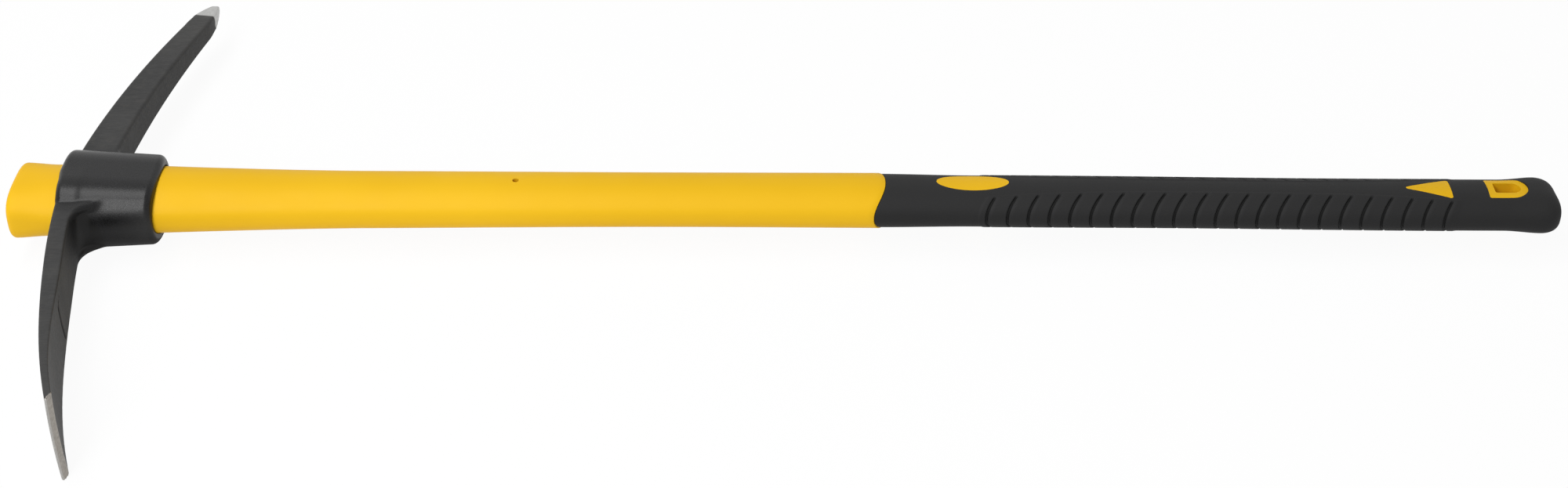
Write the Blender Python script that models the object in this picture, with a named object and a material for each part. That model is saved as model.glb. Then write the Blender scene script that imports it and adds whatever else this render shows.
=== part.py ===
"""Pickaxe with a drop-through handle.

A forged head with a pick and a cross blade sits on a fibreglass handle. The handle is a rod in a
moulded jacket, with a soft grip moulded over its lower third. The head slides on from the butt and
jams on the flare at the top end.

Metres. The handle lies along +X from its top end to its butt, the pick points to +Y, the blade to
-Y, and +Z is up. The origin is under the middle of the object, at the height of its lowest point.
"""
import math

import bmesh
import bpy
from mathutils import Vector

# Gap left between pieces that touch, and how far a flush boss lies below the grip's surface
CLEARANCE = 0.0003
BOSS_SINK = 0.0001

# Handle, measured along its axis from the top end
HANDLE_LENGTH = 0.900
TOP_WIDTH = 0.0584
TOP_THICKNESS = 0.0356
TOP_EDGE_RADIUS = 0.0050
FLARE_LENGTH = 0.200
FLARE_POWER = 1.4
NECK_WIDTH = 0.0416
NECK_THICKNESS = 0.0277
WAIST_WIDTH = 0.0402
WAIST_THICKNESS = 0.0268
HANDLE_SQUARENESS = 2.2

# Moulding pin holes in the jacket, one above and one below
PIN_HOLE_STATION = 0.2915
PIN_HOLE_DIAMETER = 0.0024

# Fibreglass rod inside the jacket
ROD_WIDTH = 0.0230
ROD_THICKNESS = 0.0130
ROD_END_FROM_BUTT = 0.0500
ROD_RECESS = 0.0008

# Soft grip, measured from the butt, and its wavy front edge
GRIP_LENGTH = 0.3965
GRIP_EDGE_WAVE = 0.0035
GRIP_EDGE_STEP = 0.0005
GRIP_WAVE_RUN = 0.0280
JACKET_WAVE_RUN = 0.0350
GRIP_WALL = 0.0027
GRIP_WIDTH = 0.0376
GRIP_THICKNESS = 0.0242
BUTT_WIDTH = 0.0402
BUTT_THICKNESS = 0.0258
BUTT_FLARE_LENGTH = 0.0500
BUTT_DOME_LENGTH = 0.0125
BUTT_DOME_FLAT = 0.22
BUTT_DOME_POWER = 0.58
BUTT_WALL = 0.0070

# Grooves in the grip's two narrow sides
GROOVE_COUNT = 23
GROOVE_PITCH = 0.01203
GROOVE_FROM_EDGE = 0.0617
GROOVE_WIDTH = 0.0016
GROOVE_MOUTH_WIDTH = 0.0026
GROOVE_DEPTH = 0.0010
GROOVE_LEAN = 0.0085
GROOVE_SWEEP = math.radians(71)
GROOVE_END_SWEEP = math.radians(56)

# Windows in the grip, filled by bosses of the jacket
OVAL_FROM_EDGE = 0.0544
OVAL_LENGTH = 0.0422
OVAL_WIDTH = 0.0168
ARROW_TIP_FROM_BUTT = 0.0926
ARROW_LENGTH = 0.0284
ARROW_WIDTH = 0.0190
ARROW_CORNER_RADIUS = 0.0012
EYELET_START_FROM_BUTT = 0.0423
EYELET_LENGTH = 0.0238
EYELET_WIDTH = 0.0188
EYELET_FACE_DEPTH = 0.0006
HANGING_HOLE_LENGTH = 0.0154
HANGING_HOLE_WIDTH = 0.0096

# Head: where its collar sits on the handle, and the collar itself
HEAD_STATION = 0.0278
COLLAR_LENGTH = 0.0565
COLLAR_TOP_WIDTH = 0.0670
COLLAR_TOP_THICKNESS = 0.0470
COLLAR_LOWER_WIDTH = 0.0610
COLLAR_LOWER_THICKNESS = 0.0410
COLLAR_FLAT_WIDTH = 0.0240
COLLAR_RIM_RADIUS = 0.0035

# Blade, across the handle. Reaches are measured from the handle's axis
BLADE_REACH = 0.2208
BLADE_SET_BACK = 0.0036
BLADE_ROOT_SLOPE = 0.102
BLADE_CURVE_RADIUS = 0.757
BLADE_ROOT_REACH = 0.0270
BLADE_ROOT_THICKNESS = 0.0112
BLADE_END_THICKNESS = 0.0044
BLADE_ROOT_WIDTH = 0.0325
BLADE_WAIST_WIDTH = 0.0335
BLADE_WAIST_REACH = 0.0920
BLADE_EDGE_WIDTH = 0.0550
BLADE_FLARE_POWER = 1.4
BLADE_CORNER_RADIUS = 0.0015
BEVEL_LENGTH = 0.0060
BLADE_EDGE_THICKNESS = 0.0008
BLADE_FILLET_RADIUS = 0.0180

# Pick, in line with the handle's wide axis
PICK_REACH = 0.2290
PICK_ROOT_REACH = 0.0320
PICK_INNER_OFFSET = 0.0237
PICK_ROOT_SLOPE = 0.036
PICK_CURVE_RADIUS = 0.867
PICK_ROOT_DEPTH = 0.0216
PICK_ROOT_HEIGHT = 0.0202
PICK_SHOULDER_DEPTH = 0.0139
PICK_SHOULDER_HEIGHT = 0.0110
PICK_TAPER_POWER = 1.4
PICK_POINT_LENGTH = 0.0340
PICK_POINT_SLOPE = 0.185
PICK_POINT_POWER = 1.8
PICK_TIP_SHARE = 0.28
PICK_CORNER_RADIUS = 0.0018
PICK_FILLET_RADIUS = 0.0110

# Faceting
HANDLE_SIDES = 40
ROD_SIDES = 24
COLLAR_SIDES = 48
FILLET_STEPS = 7

# How deep the arms' fillets start inside the collar's side, where their sections lie as shares of
# their half height, and how far their radius shrinks at their outermost sections
FILLET_ROOT = 0.0006
FILLET_SECTIONS = (-1.0, -0.92, -0.6, -0.2, 0.2, 0.6, 0.92, 1.0)
FILLET_END_SHARE = 0.8

# Stations along the handle that follow from the sizes
GRIP_END = HANDLE_LENGTH
GRIP_START = GRIP_END - GRIP_LENGTH
SHOULDER_END = GRIP_END - BUTT_WALL
BUTT_FLARE_START = GRIP_END - BUTT_FLARE_LENGTH
ROD_END_STATION = HANDLE_LENGTH - ROD_END_FROM_BUTT
OVAL_STATION = GRIP_START + OVAL_FROM_EDGE
GROOVE_FIRST = GRIP_START + GROOVE_FROM_EDGE
ARROW_TIP_STATION = GRIP_END - ARROW_TIP_FROM_BUTT
EYELET_START = GRIP_END - EYELET_START_FROM_BUTT


# Materials

def make_material(name, colour, roughness, metallic):
    """A plain Principled material."""
    material = bpy.data.materials.new(name)
    material.use_nodes = True
    shader = material.node_tree.nodes["Principled BSDF"]
    shader.inputs["Base Color"].default_value = (*colour, 1.0)
    shader.inputs["Roughness"].default_value = roughness
    shader.inputs["Metallic"].default_value = metallic
    material.diffuse_color = (*colour, 1.0)
    return material


# Mesh building

def superellipse(half_width, half_thickness, squareness, sides):
    """Points (y, z) around an oval with flatter sides than an ellipse's."""
    points = []
    for step in range(sides):
        angle = 2 * math.pi * step / sides
        across = math.cos(angle)
        up = math.sin(angle)
        y = half_width * math.copysign(abs(across) ** (2 / squareness), across)
        z = half_thickness * math.copysign(abs(up) ** (2 / squareness), up)
        points.append((y, z))
    return points


def loft(rings):
    """A closed mesh through rings of equally many points, capped at both ends."""
    mesh = bmesh.new()
    loops = [[mesh.verts.new(point) for point in ring] for ring in rings]
    for lower, upper in zip(loops, loops[1:]):
        count = len(lower)
        for index in range(count):
            following = (index + 1) % count
            mesh.faces.new((lower[index], lower[following], upper[following], upper[index]))
    mesh.faces.new(list(reversed(loops[0])))
    mesh.faces.new(loops[-1])
    bmesh.ops.recalc_face_normals(mesh, faces=mesh.faces)
    return mesh


def prism(outline, low, high):
    """An outline of (x, y) points, extruded from z = low to z = high."""
    return loft([[(x, y, low) for x, y in outline], [(x, y, high) for x, y in outline]])


def combine(meshes):
    """One mesh that holds several closed ones side by side."""
    joined = bmesh.new()
    for mesh in meshes:
        part = bpy.data.meshes.new("part")
        mesh.to_mesh(part)
        joined.from_mesh(part)
        mesh.free()
        bpy.data.meshes.remove(part)
    return joined


def add_object(name, mesh, parent, material=None, station=0.0, smooth=True):
    """A named object on the handle's axis, its origin at a station along it."""
    data = bpy.data.meshes.new(name)
    mesh.to_mesh(data)
    mesh.free()
    made = bpy.data.objects.new(name, data)
    bpy.context.scene.collection.objects.link(made)
    made.parent = parent
    made.location.x = station
    if material is not None:
        data.materials.append(material)
    if smooth:
        data.shade_smooth()
        data.set_sharp_from_angle(angle=math.radians(35))
    return made


def add_tool(name, mesh, parent, station=0.0, smooth=False):
    """A shape that only cuts or completes another one."""
    tool = add_object(name, mesh, parent, station=station, smooth=smooth)
    tool.hide_render = True
    tool.display_type = "WIRE"
    return tool


def combine_with(target, tool, operation):
    """Add a Boolean modifier with the exact solver."""
    modifier = target.modifiers.new(tool.name, "BOOLEAN")
    modifier.operation = operation
    modifier.solver = "EXACT"
    modifier.object = tool


# Handle shape

def flare_share(station):
    """How much of the top end's extra size is left at a station: 1 at the top, 0 at the neck."""
    return max(0.0, 1 - station / FLARE_LENGTH) ** FLARE_POWER


def jacket_size(station):
    """Half width and half thickness of the bare handle above the grip."""
    along = min(1.0, max(0.0, (station - FLARE_LENGTH) / (GRIP_START - FLARE_LENGTH)))
    base_width = NECK_WIDTH + (WAIST_WIDTH - NECK_WIDTH) * along
    base_thickness = NECK_THICKNESS + (WAIST_THICKNESS - NECK_THICKNESS) * along
    share = flare_share(station)
    width = base_width + (TOP_WIDTH - NECK_WIDTH) * share
    thickness = base_thickness + (TOP_THICKNESS - NECK_THICKNESS) * share
    return width / 2, thickness / 2


def ease(share):
    """A smooth step from 0 to 1."""
    share = min(1.0, max(0.0, share))
    return share * share * (3 - 2 * share)


def grip_size(station):
    """Half width and half thickness of the grip, a step lower than the jacket at its front."""
    front_width, front_thickness = jacket_size(GRIP_START)
    front_share = 1 - ease((station - GRIP_START) / (OVAL_STATION - GRIP_START))
    butt_share = ease((station - BUTT_FLARE_START) / (GRIP_END - BUTT_DOME_LENGTH - BUTT_FLARE_START))
    half_width = GRIP_WIDTH / 2 + (front_width - GRIP_EDGE_STEP - GRIP_WIDTH / 2) * front_share
    half_thickness = (GRIP_THICKNESS / 2
                      + (front_thickness - GRIP_EDGE_STEP - GRIP_THICKNESS / 2) * front_share)
    half_width += (BUTT_WIDTH - GRIP_WIDTH) / 2 * butt_share
    half_thickness += (BUTT_THICKNESS - GRIP_THICKNESS) / 2 * butt_share
    return half_width, half_thickness


def oval_ring(station, half_width, half_thickness, sides=HANDLE_SIDES):
    """A flat ring of points across the handle."""
    section = superellipse(half_width, half_thickness, HANDLE_SQUARENESS, sides)
    return [(station, y, z) for y, z in section]


def wavy_ring(station, half_width, half_thickness, wave):
    """A ring whose top and bottom reach further down the handle than its sides."""
    ring = oval_ring(station, half_width, half_thickness)
    bent = []
    for step, (x, y, z) in enumerate(ring):
        turn = 2 * math.pi * step / HANDLE_SIDES
        bent.append((x - wave * math.cos(2 * turn), y, z))
    return bent


def spread(start, end, count):
    """Evenly spaced values, both ends included."""
    return [start + (end - start) * step / (count - 1) for step in range(count)]


def quarter_turn(steps):
    """Pairs (rise, fall) over a quarter turn, both from 0 to 1, for rounding an edge."""
    angles = spread(0, math.pi / 2, steps)
    return [(math.sin(angle), 1 - math.cos(angle)) for angle in angles]


# Windows

def oval_outline(grow):
    """The oval window."""
    steps = 32
    outline = []
    for step in range(steps):
        angle = 2 * math.pi * step / steps
        outline.append((OVAL_STATION + (OVAL_LENGTH / 2 + grow) * math.cos(angle),
                        (OVAL_WIDTH / 2 + grow) * math.sin(angle)))
    return outline


def rounded_corners(corners, radius, grow):
    """A polygon, its corners listed anticlockwise, each rounded, and the whole grown outwards."""
    outline = []
    for index, corner in enumerate(corners):
        here = Vector(corner)
        arriving = (here - Vector(corners[index - 1])).normalized()
        leaving = (Vector(corners[(index + 1) % len(corners)]) - here).normalized()
        turn = arriving.angle(leaving)
        inwards = (leaving - arriving).normalized()
        centre = here + inwards * radius / math.cos(turn / 2)
        first = math.atan2(-arriving.x, arriving.y)
        for angle in spread(first, first + turn, 5):
            outline.append((centre.x + (radius + grow) * math.cos(angle),
                            centre.y + (radius + grow) * math.sin(angle)))
    return outline


def arrow_outline(grow):
    """The triangular window, its point towards the head."""
    base = ARROW_TIP_STATION + ARROW_LENGTH
    corners = [(ARROW_TIP_STATION, 0.0), (base, -ARROW_WIDTH / 2), (base, ARROW_WIDTH / 2)]
    return rounded_corners(corners, ARROW_CORNER_RADIUS, grow)


def eyelet_outline(start, length, width, grow):
    """A D lying along the handle: flat end at the front, round end at the back."""
    radius = width / 2
    centre = start + length - radius
    outline = []
    for angle in spread(-math.pi / 2, math.pi / 2, 13):
        outline.append((centre + (radius + grow) * math.cos(angle), (radius + grow) * math.sin(angle)))
    outline.append((start - grow, radius + grow))
    outline.append((start - grow, -radius - grow))
    return outline


def window_outlines(grow):
    """The three window outlines."""
    return [
        oval_outline(grow),
        arrow_outline(grow),
        eyelet_outline(EYELET_START, EYELET_LENGTH, EYELET_WIDTH, grow),
    ]


# Handle pieces

def rod_mesh(grow, start, end):
    """The rod, or the bore that it lies in when grown."""
    rings = [oval_ring(station, ROD_WIDTH / 2 + grow, ROD_THICKNESS / 2 + grow, ROD_SIDES)
             for station in (start, end)]
    return loft(rings)


def under_grip_size(station, grow=0.0):
    """Half sizes of the jacket where the grip covers it."""
    half_width, half_thickness = grip_size(station)
    return half_width - GRIP_WALL + grow, half_thickness - GRIP_WALL + grow


def under_grip_stations():
    """Stations shared by the jacket's covered part and the grip's inside."""
    return spread(GRIP_START + 2 * GRIP_EDGE_WAVE, SHOULDER_END, 9)


def jacket_mesh():
    """The jacket's outer body: top end, flare, waist, shoulder at the grip and covered part."""
    rings = []
    for rise, fall in quarter_turn(4):
        half_width, half_thickness = jacket_size(TOP_EDGE_RADIUS * fall)
        shrink = TOP_EDGE_RADIUS * (1 - rise)
        rings.append(oval_ring(TOP_EDGE_RADIUS * fall, half_width - shrink, half_thickness - shrink))
    for station in spread(TOP_EDGE_RADIUS, FLARE_LENGTH, 14)[1:]:
        rings.append(oval_ring(station, *jacket_size(station)))
    for station in spread(FLARE_LENGTH, GRIP_START - JACKET_WAVE_RUN, 4)[1:]:
        rings.append(oval_ring(station, *jacket_size(station)))
    for share in (0.5, 1.0):
        station = GRIP_START - JACKET_WAVE_RUN * (1 - share)
        rings.append(wavy_ring(station, *jacket_size(station), GRIP_EDGE_WAVE * share))
    rings.append(wavy_ring(GRIP_START, *under_grip_size(GRIP_START), GRIP_EDGE_WAVE))
    for station in under_grip_stations():
        rings.append(oval_ring(station, *under_grip_size(station)))
    return loft(rings)


def grip_outer_rings(sink=0.0):
    """The grip's outer surface, or that surface sunk a little for what lies flush in it."""
    front_face = GRIP_START + CLEARANCE
    rings = []
    for share in (1.0, 0.5, 0.0):
        station = front_face + GRIP_WAVE_RUN * (1 - share)
        half_width, half_thickness = grip_size(station)
        rings.append(wavy_ring(station, half_width - sink, half_thickness - sink,
                               GRIP_EDGE_WAVE * share))
    dome_start = GRIP_END - BUTT_DOME_LENGTH
    stations = spread(front_face + GRIP_WAVE_RUN, BUTT_FLARE_START, 5)[1:]
    stations += spread(BUTT_FLARE_START, dome_start, 4)[1:]
    for station in stations:
        half_width, half_thickness = grip_size(station)
        rings.append(oval_ring(station, half_width - sink, half_thickness - sink))
    half_width, half_thickness = grip_size(dome_start)
    for angle in spread(0, math.pi / 2, 7)[1:]:
        station = dome_start + BUTT_DOME_LENGTH * math.sin(angle)
        share = BUTT_DOME_FLAT + (1 - BUTT_DOME_FLAT) * abs(math.cos(angle)) ** BUTT_DOME_POWER
        rings.append(oval_ring(station, (half_width - sink) * share, (half_thickness - sink) * share))
    return rings


def grip_inner_rings():
    """The grip's inside from front to back, clear of the jacket's covered part."""
    front_face = GRIP_START + CLEARANCE
    rings = [wavy_ring(front_face, *under_grip_size(GRIP_START, CLEARANCE), GRIP_EDGE_WAVE)]
    for station in under_grip_stations():
        rings.append(oval_ring(station, *under_grip_size(station, CLEARANCE)))
    last = under_grip_stations()[-1] + CLEARANCE
    rings[-1] = oval_ring(last, *under_grip_size(last, CLEARANCE))
    return rings


def groove_mesh(index, side):
    """One curved groove, as the solid that cuts it: side is +1 or -1 across the handle."""
    middle = GROOVE_FIRST + GROOVE_PITCH * index
    half_width, half_thickness = grip_size(middle)
    power = 2 / HANDLE_SQUARENESS
    from_centre = abs(2 * index / (GROOVE_COUNT - 1) - 1)
    sweep = GROOVE_SWEEP - (GROOVE_SWEEP - GROOVE_END_SWEEP) * from_centre ** 3
    rings = []
    for turn in spread(-sweep, sweep, 7):
        across = math.cos(turn) ** power
        up = math.copysign(abs(math.sin(turn)) ** power, turn)
        station = middle + GROOVE_LEAN * (turn / GROOVE_SWEEP) ** 2
        ring = []
        for offset, along in ((-GROOVE_DEPTH, -GROOVE_WIDTH), (-GROOVE_DEPTH, GROOVE_WIDTH),
                              (2 * GROOVE_DEPTH, GROOVE_MOUTH_WIDTH),
                              (2 * GROOVE_DEPTH, -GROOVE_MOUTH_WIDTH)):
            ring.append((station + along / 2,
                         side * (half_width + offset) * across,
                         (half_thickness + offset) * up))
        rings.append(ring)
    return loft(rings)


def build_rod(parent, material):
    """The fibreglass rod, a little short of the jacket's top end."""
    add_object("core_rod", rod_mesh(0.0, ROD_RECESS, ROD_END_STATION), parent, material)


def build_jacket(parent, material):
    """The jacket with its bore, bosses, hanging hole and pin holes."""
    jacket = add_object("handle_jacket", jacket_mesh(), parent, material)

    oval, arrow, eyelet = window_outlines(0.0)
    face = eyelet_face_height()
    boss_prisms = [prism(oval, -NECK_THICKNESS, NECK_THICKNESS),
                   prism(arrow, -NECK_THICKNESS, NECK_THICKNESS),
                   prism(eyelet, -face, face)]
    bosses = add_tool("boss_outlines", combine(boss_prisms), parent)
    front = [oval_ring(GRIP_START, *under_grip_size(GRIP_START, -GRIP_WALL))]
    envelope = add_tool("boss_envelope", loft(front + grip_outer_rings(BOSS_SINK)), parent)
    combine_with(bosses, envelope, "INTERSECT")
    combine_with(jacket, bosses, "UNION")

    hole_start = EYELET_START + (EYELET_LENGTH - HANGING_HOLE_LENGTH) / 2
    hole = eyelet_outline(hole_start, HANGING_HOLE_LENGTH, HANGING_HOLE_WIDTH, 0.0)
    hole_tool = add_tool("hanging_hole", prism(hole, -NECK_THICKNESS, NECK_THICKNESS), parent)
    combine_with(jacket, hole_tool, "DIFFERENCE")

    bore = rod_mesh(CLEARANCE, -TOP_EDGE_RADIUS, ROD_END_STATION + CLEARANCE)
    combine_with(jacket, add_tool("rod_bore", bore, parent), "DIFFERENCE")

    pins = []
    for side in (-1, 1):
        pin = bmesh.new()
        bmesh.ops.create_cone(pin, cap_ends=True, segments=16, radius1=PIN_HOLE_DIAMETER / 2,
                              radius2=PIN_HOLE_DIAMETER / 2, depth=NECK_THICKNESS / 2)
        bmesh.ops.translate(pin, verts=pin.verts,
                            vec=(PIN_HOLE_STATION, 0, side * (ROD_THICKNESS / 2 + NECK_THICKNESS / 4)))
        pins.append(pin)
    combine_with(jacket, add_tool("pin_holes", combine(pins), parent), "DIFFERENCE")


def eyelet_face_height():
    """Height of the flat face around the hanging hole, above the handle's axis."""
    return grip_size(EYELET_START + EYELET_LENGTH / 2)[1] - EYELET_FACE_DEPTH


def build_grip(parent, material):
    """The soft grip with its windows and grooves."""
    sleeve = list(reversed(grip_inner_rings())) + grip_outer_rings()
    grip = add_object("grip", loft(sleeve), parent, material)
    windows = [prism(outline, -NECK_THICKNESS, NECK_THICKNESS) for outline in window_outlines(CLEARANCE)]
    combine_with(grip, add_tool("windows", combine(windows), parent), "DIFFERENCE")

    grooves = []
    for side in (-1, 1):
        for index in range(GROOVE_COUNT):
            grooves.append(groove_mesh(index, side))
    combine_with(grip, add_tool("grooves", combine(grooves), parent), "DIFFERENCE")


# Head, measured along the handle from the collar's top rim

def oblong(half_width, half_thickness, half_flat, sides):
    """Points (y, z) of a section with flat top and bottom and elliptical sides."""
    points = []
    for step in range(sides):
        angle = 2 * math.pi * (step + 0.5) / sides
        across = math.cos(angle)
        y = (half_width - half_flat) * across + math.copysign(half_flat, across)
        points.append((y, half_thickness * math.sin(angle)))
    return points


def collar_size(depth):
    """Half width and half thickness of the collar at a depth below its top rim."""
    share = depth / COLLAR_LENGTH
    width = COLLAR_TOP_WIDTH + (COLLAR_LOWER_WIDTH - COLLAR_TOP_WIDTH) * share
    thickness = COLLAR_TOP_THICKNESS + (COLLAR_LOWER_THICKNESS - COLLAR_TOP_THICKNESS) * share
    return width / 2, thickness / 2


def collar_side(height):
    """How far the collar's side reaches at a height above the axis."""
    half_width, half_thickness = collar_size(COLLAR_LENGTH / 2)
    share = min(1.0, abs(height) / half_thickness)
    half_flat = COLLAR_FLAT_WIDTH / 2
    return half_flat + (half_width - half_flat) * math.sqrt(1 - share * share)


def collar_mesh():
    """The collar, solid, with rounded rims."""
    rounding = [(COLLAR_RIM_RADIUS * fall, COLLAR_RIM_RADIUS * (1 - rise))
                for rise, fall in quarter_turn(4)]
    straight = spread(COLLAR_RIM_RADIUS, COLLAR_LENGTH - COLLAR_RIM_RADIUS, 4)[1:-1]
    profile = rounding + [(depth, 0.0) for depth in straight]
    profile += [(COLLAR_LENGTH - depth, shrink) for depth, shrink in reversed(rounding)]
    rings = []
    for depth, shrink in profile:
        half_width, half_thickness = collar_size(depth)
        section = oblong(half_width - shrink, half_thickness - shrink, COLLAR_FLAT_WIDTH / 2, COLLAR_SIDES)
        rings.append([(depth, y, z) for y, z in section])
    return loft(rings)


def eye_mesh():
    """The eye: the handle's own flare, a clearance larger, run out past both rims."""
    rings = []
    margin = 2 * COLLAR_RIM_RADIUS
    for depth in spread(-margin, COLLAR_LENGTH + margin, 7):
        half_width, half_thickness = jacket_size(HEAD_STATION + depth)
        rings.append(oval_ring(depth, half_width + CLEARANCE, half_thickness + CLEARANCE))
    return loft(rings)


def bar_ring(reach, outer, inner, half_height, corner):
    """A rounded rectangle across an arm at a reach from the axis (negative on the blade's side)."""
    radius = min(corner, (inner - outer) / 3, half_height / 2)
    ring = []
    corners = ((inner - radius, half_height - radius, 0), (outer + radius, half_height - radius, 1),
               (outer + radius, -half_height + radius, 2), (inner - radius, -half_height + radius, 3))
    for x, z, quarter in corners:
        for turn in (0, 0.5, 1):
            angle = (quarter + turn) * math.pi / 2
            ring.append((x + radius * math.cos(angle), reach, z + radius * math.sin(angle)))
    return ring


def blade_outer(reach):
    """Depth of the blade's outer face below the top rim."""
    run = reach - BLADE_ROOT_REACH
    return BLADE_SET_BACK + BLADE_ROOT_SLOPE * run + run * run / (2 * BLADE_CURVE_RADIUS)


def blade_thickness(reach):
    """Thickness of the blade, with the ground bevel along its edge."""
    bevel_start = BLADE_REACH - BEVEL_LENGTH
    share = min(1.0, (reach - BLADE_ROOT_REACH) / (bevel_start - BLADE_ROOT_REACH))
    thickness = BLADE_ROOT_THICKNESS + (BLADE_END_THICKNESS - BLADE_ROOT_THICKNESS) * share
    ground = max(0.0, (reach - bevel_start) / BEVEL_LENGTH)
    return thickness + (BLADE_EDGE_THICKNESS - thickness) * ground


def blade_half_width(reach):
    """Half width of the blade: narrow at its waist, wide at its edge."""
    if reach < BLADE_WAIST_REACH:
        share = (BLADE_WAIST_REACH - reach) / (BLADE_WAIST_REACH - BLADE_ROOT_REACH)
        width = BLADE_WAIST_WIDTH + (BLADE_ROOT_WIDTH - BLADE_WAIST_WIDTH) * ease(share)
    else:
        share = (reach - BLADE_WAIST_REACH) / (BLADE_REACH - BLADE_WAIST_REACH)
        width = BLADE_WAIST_WIDTH + (BLADE_EDGE_WIDTH - BLADE_WAIST_WIDTH) * share ** BLADE_FLARE_POWER
    return width / 2


def blade_mesh():
    """The blade from inside the collar's wall to its ground edge."""
    buried = BLADE_ROOT_REACH / 2
    rings = []
    reaches = [buried] + spread(BLADE_ROOT_REACH, BLADE_REACH - BEVEL_LENGTH, 13) + [BLADE_REACH]
    for reach in reaches:
        along = max(reach, BLADE_ROOT_REACH)
        outer = blade_outer(along)
        inner = outer + blade_thickness(along)
        rings.append(bar_ring(-reach, outer, inner, blade_half_width(along), BLADE_CORNER_RADIUS))
    return loft(rings)


def pick_inner(reach):
    """Depth of the pick's inner face below the top rim."""
    run = reach - PICK_ROOT_REACH
    return PICK_INNER_OFFSET + PICK_ROOT_SLOPE * run + run * run / (2 * PICK_CURVE_RADIUS)


def pick_section(reach):
    """Middle depth, half depth and half height of the pick at a reach."""
    shoulder = PICK_REACH - PICK_POINT_LENGTH
    share = min(1.0, (reach - PICK_ROOT_REACH) / (shoulder - PICK_ROOT_REACH)) ** PICK_TAPER_POWER
    half_depth = (PICK_ROOT_DEPTH + (PICK_SHOULDER_DEPTH - PICK_ROOT_DEPTH) * share) / 2
    half_height = (PICK_ROOT_HEIGHT + (PICK_SHOULDER_HEIGHT - PICK_ROOT_HEIGHT) * share) / 2
    middle = pick_inner(min(reach, shoulder)) - half_depth
    nose = max(0.0, (reach - shoulder) / PICK_POINT_LENGTH)
    taper = 1 - (1 - PICK_TIP_SHARE) * nose ** PICK_POINT_POWER
    middle += PICK_POINT_SLOPE * PICK_POINT_LENGTH * nose
    return middle, half_depth * taper, half_height * taper


def pick_mesh():
    """The pick from inside the collar's wall to its blunt point."""
    shoulder = PICK_REACH - PICK_POINT_LENGTH
    reaches = [PICK_ROOT_REACH / 2] + spread(PICK_ROOT_REACH, shoulder, 10)
    reaches += spread(shoulder, PICK_REACH, 7)[1:]
    rings = []
    for reach in reaches:
        middle, half_depth, half_height = pick_section(max(reach, PICK_ROOT_REACH))
        rings.append(bar_ring(reach, middle - half_depth, middle + half_depth, half_height,
                              PICK_CORNER_RADIUS))
    return loft(rings)


def fillet_mesh(side, radius, half_height, inner_face, outer_depth):
    """The hollow between an arm's inner face and the collar's side, following that side."""
    rings = []
    for share in FILLET_SECTIONS:
        height = half_height * share
        wall = collar_side(height) - FILLET_ROOT
        reach = radius if abs(share) < 1 else radius * FILLET_END_SHARE
        tangent = inner_face(wall + reach)
        centre = tangent + reach
        outline = [(outer_depth, wall / 2), (centre, wall / 2)]
        for angle in spread(-math.pi / 2, -math.pi, FILLET_STEPS):
            outline.append((centre + reach * math.cos(angle), wall + reach + reach * math.sin(angle)))
        outline.append((outer_depth, wall + reach))
        rings.append([(x, side * y, height) for x, y in outline])
    return loft(rings)


def build_head(parent, material):
    """The one-piece forged head: collar, blade, pick and fillets joined, then the eye cut."""
    head = add_object("head", collar_mesh(), parent, material, station=HEAD_STATION)

    def blade_inner(reach):
        return blade_outer(reach) + blade_thickness(reach)

    blade_fillet = fillet_mesh(-1, BLADE_FILLET_RADIUS, BLADE_ROOT_WIDTH / 2 - BLADE_CORNER_RADIUS,
                               blade_inner, BLADE_SET_BACK + BLADE_ROOT_THICKNESS / 2)
    pick_fillet = fillet_mesh(1, PICK_FILLET_RADIUS, PICK_ROOT_HEIGHT / 2 - PICK_CORNER_RADIUS,
                              pick_inner, PICK_INNER_OFFSET - PICK_ROOT_DEPTH / 2)
    for name, mesh in (("blade_form", blade_mesh()), ("pick_form", pick_mesh()),
                       ("blade_fillet_form", blade_fillet), ("pick_fillet_form", pick_fillet)):
        form = add_tool(name, mesh, parent, station=HEAD_STATION, smooth=True)
        combine_with(head, form, "UNION")
    eye = add_tool("eye_form", eye_mesh(), parent, station=HEAD_STATION, smooth=True)
    combine_with(head, eye, "DIFFERENCE")


def clear_scene():
    """Remove every object."""
    for old in list(bpy.data.objects):
        bpy.data.objects.remove(old)


def build():
    """Build the pickaxe."""
    clear_scene()
    lowest = max(BLADE_EDGE_WIDTH, COLLAR_TOP_THICKNESS, TOP_THICKNESS) / 2
    axis = bpy.data.objects.new("handle_axis", None)
    bpy.context.scene.collection.objects.link(axis)
    axis.location = (-HANDLE_LENGTH / 2, (BLADE_REACH - PICK_REACH) / 2, lowest)

    yellow = make_material("jacket_yellow", (0.80, 0.46, 0.02), 0.35, 0.0)
    rubber = make_material("grip_rubber", (0.028, 0.028, 0.028), 0.65, 0.0)
    steel = make_material("forged_steel", (0.045, 0.046, 0.048), 0.45, 0.6)
    glass = make_material("fibreglass", (0.62, 0.58, 0.42), 0.5, 0.0)

    build_rod(axis, glass)
    build_jacket(axis, yellow)
    build_grip(axis, rubber)
    build_head(axis, steel)


build()
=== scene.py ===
"""The pickaxe's looks: smooth forged head, moulded jacket, soft grip, their materials, light and camera.

Lengths are in metres. The handle lies along +X from its top end to its butt, the pick points to +Y, the
blade to -Y and +Z is up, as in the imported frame. A station is a distance along the handle from its top
end. In the head, depth is a distance down the handle from the collar's upper rim, and reach a distance
out along an arm. A size is a width and a thickness. A SPAN is the start and the run of a gradual change
from 0 to 1, and a FALL is the end and the run of a change from 1 to 0.
"""
import math

import bmesh
import bpy
import numpy as np
from mathutils import Matrix, Vector


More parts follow.
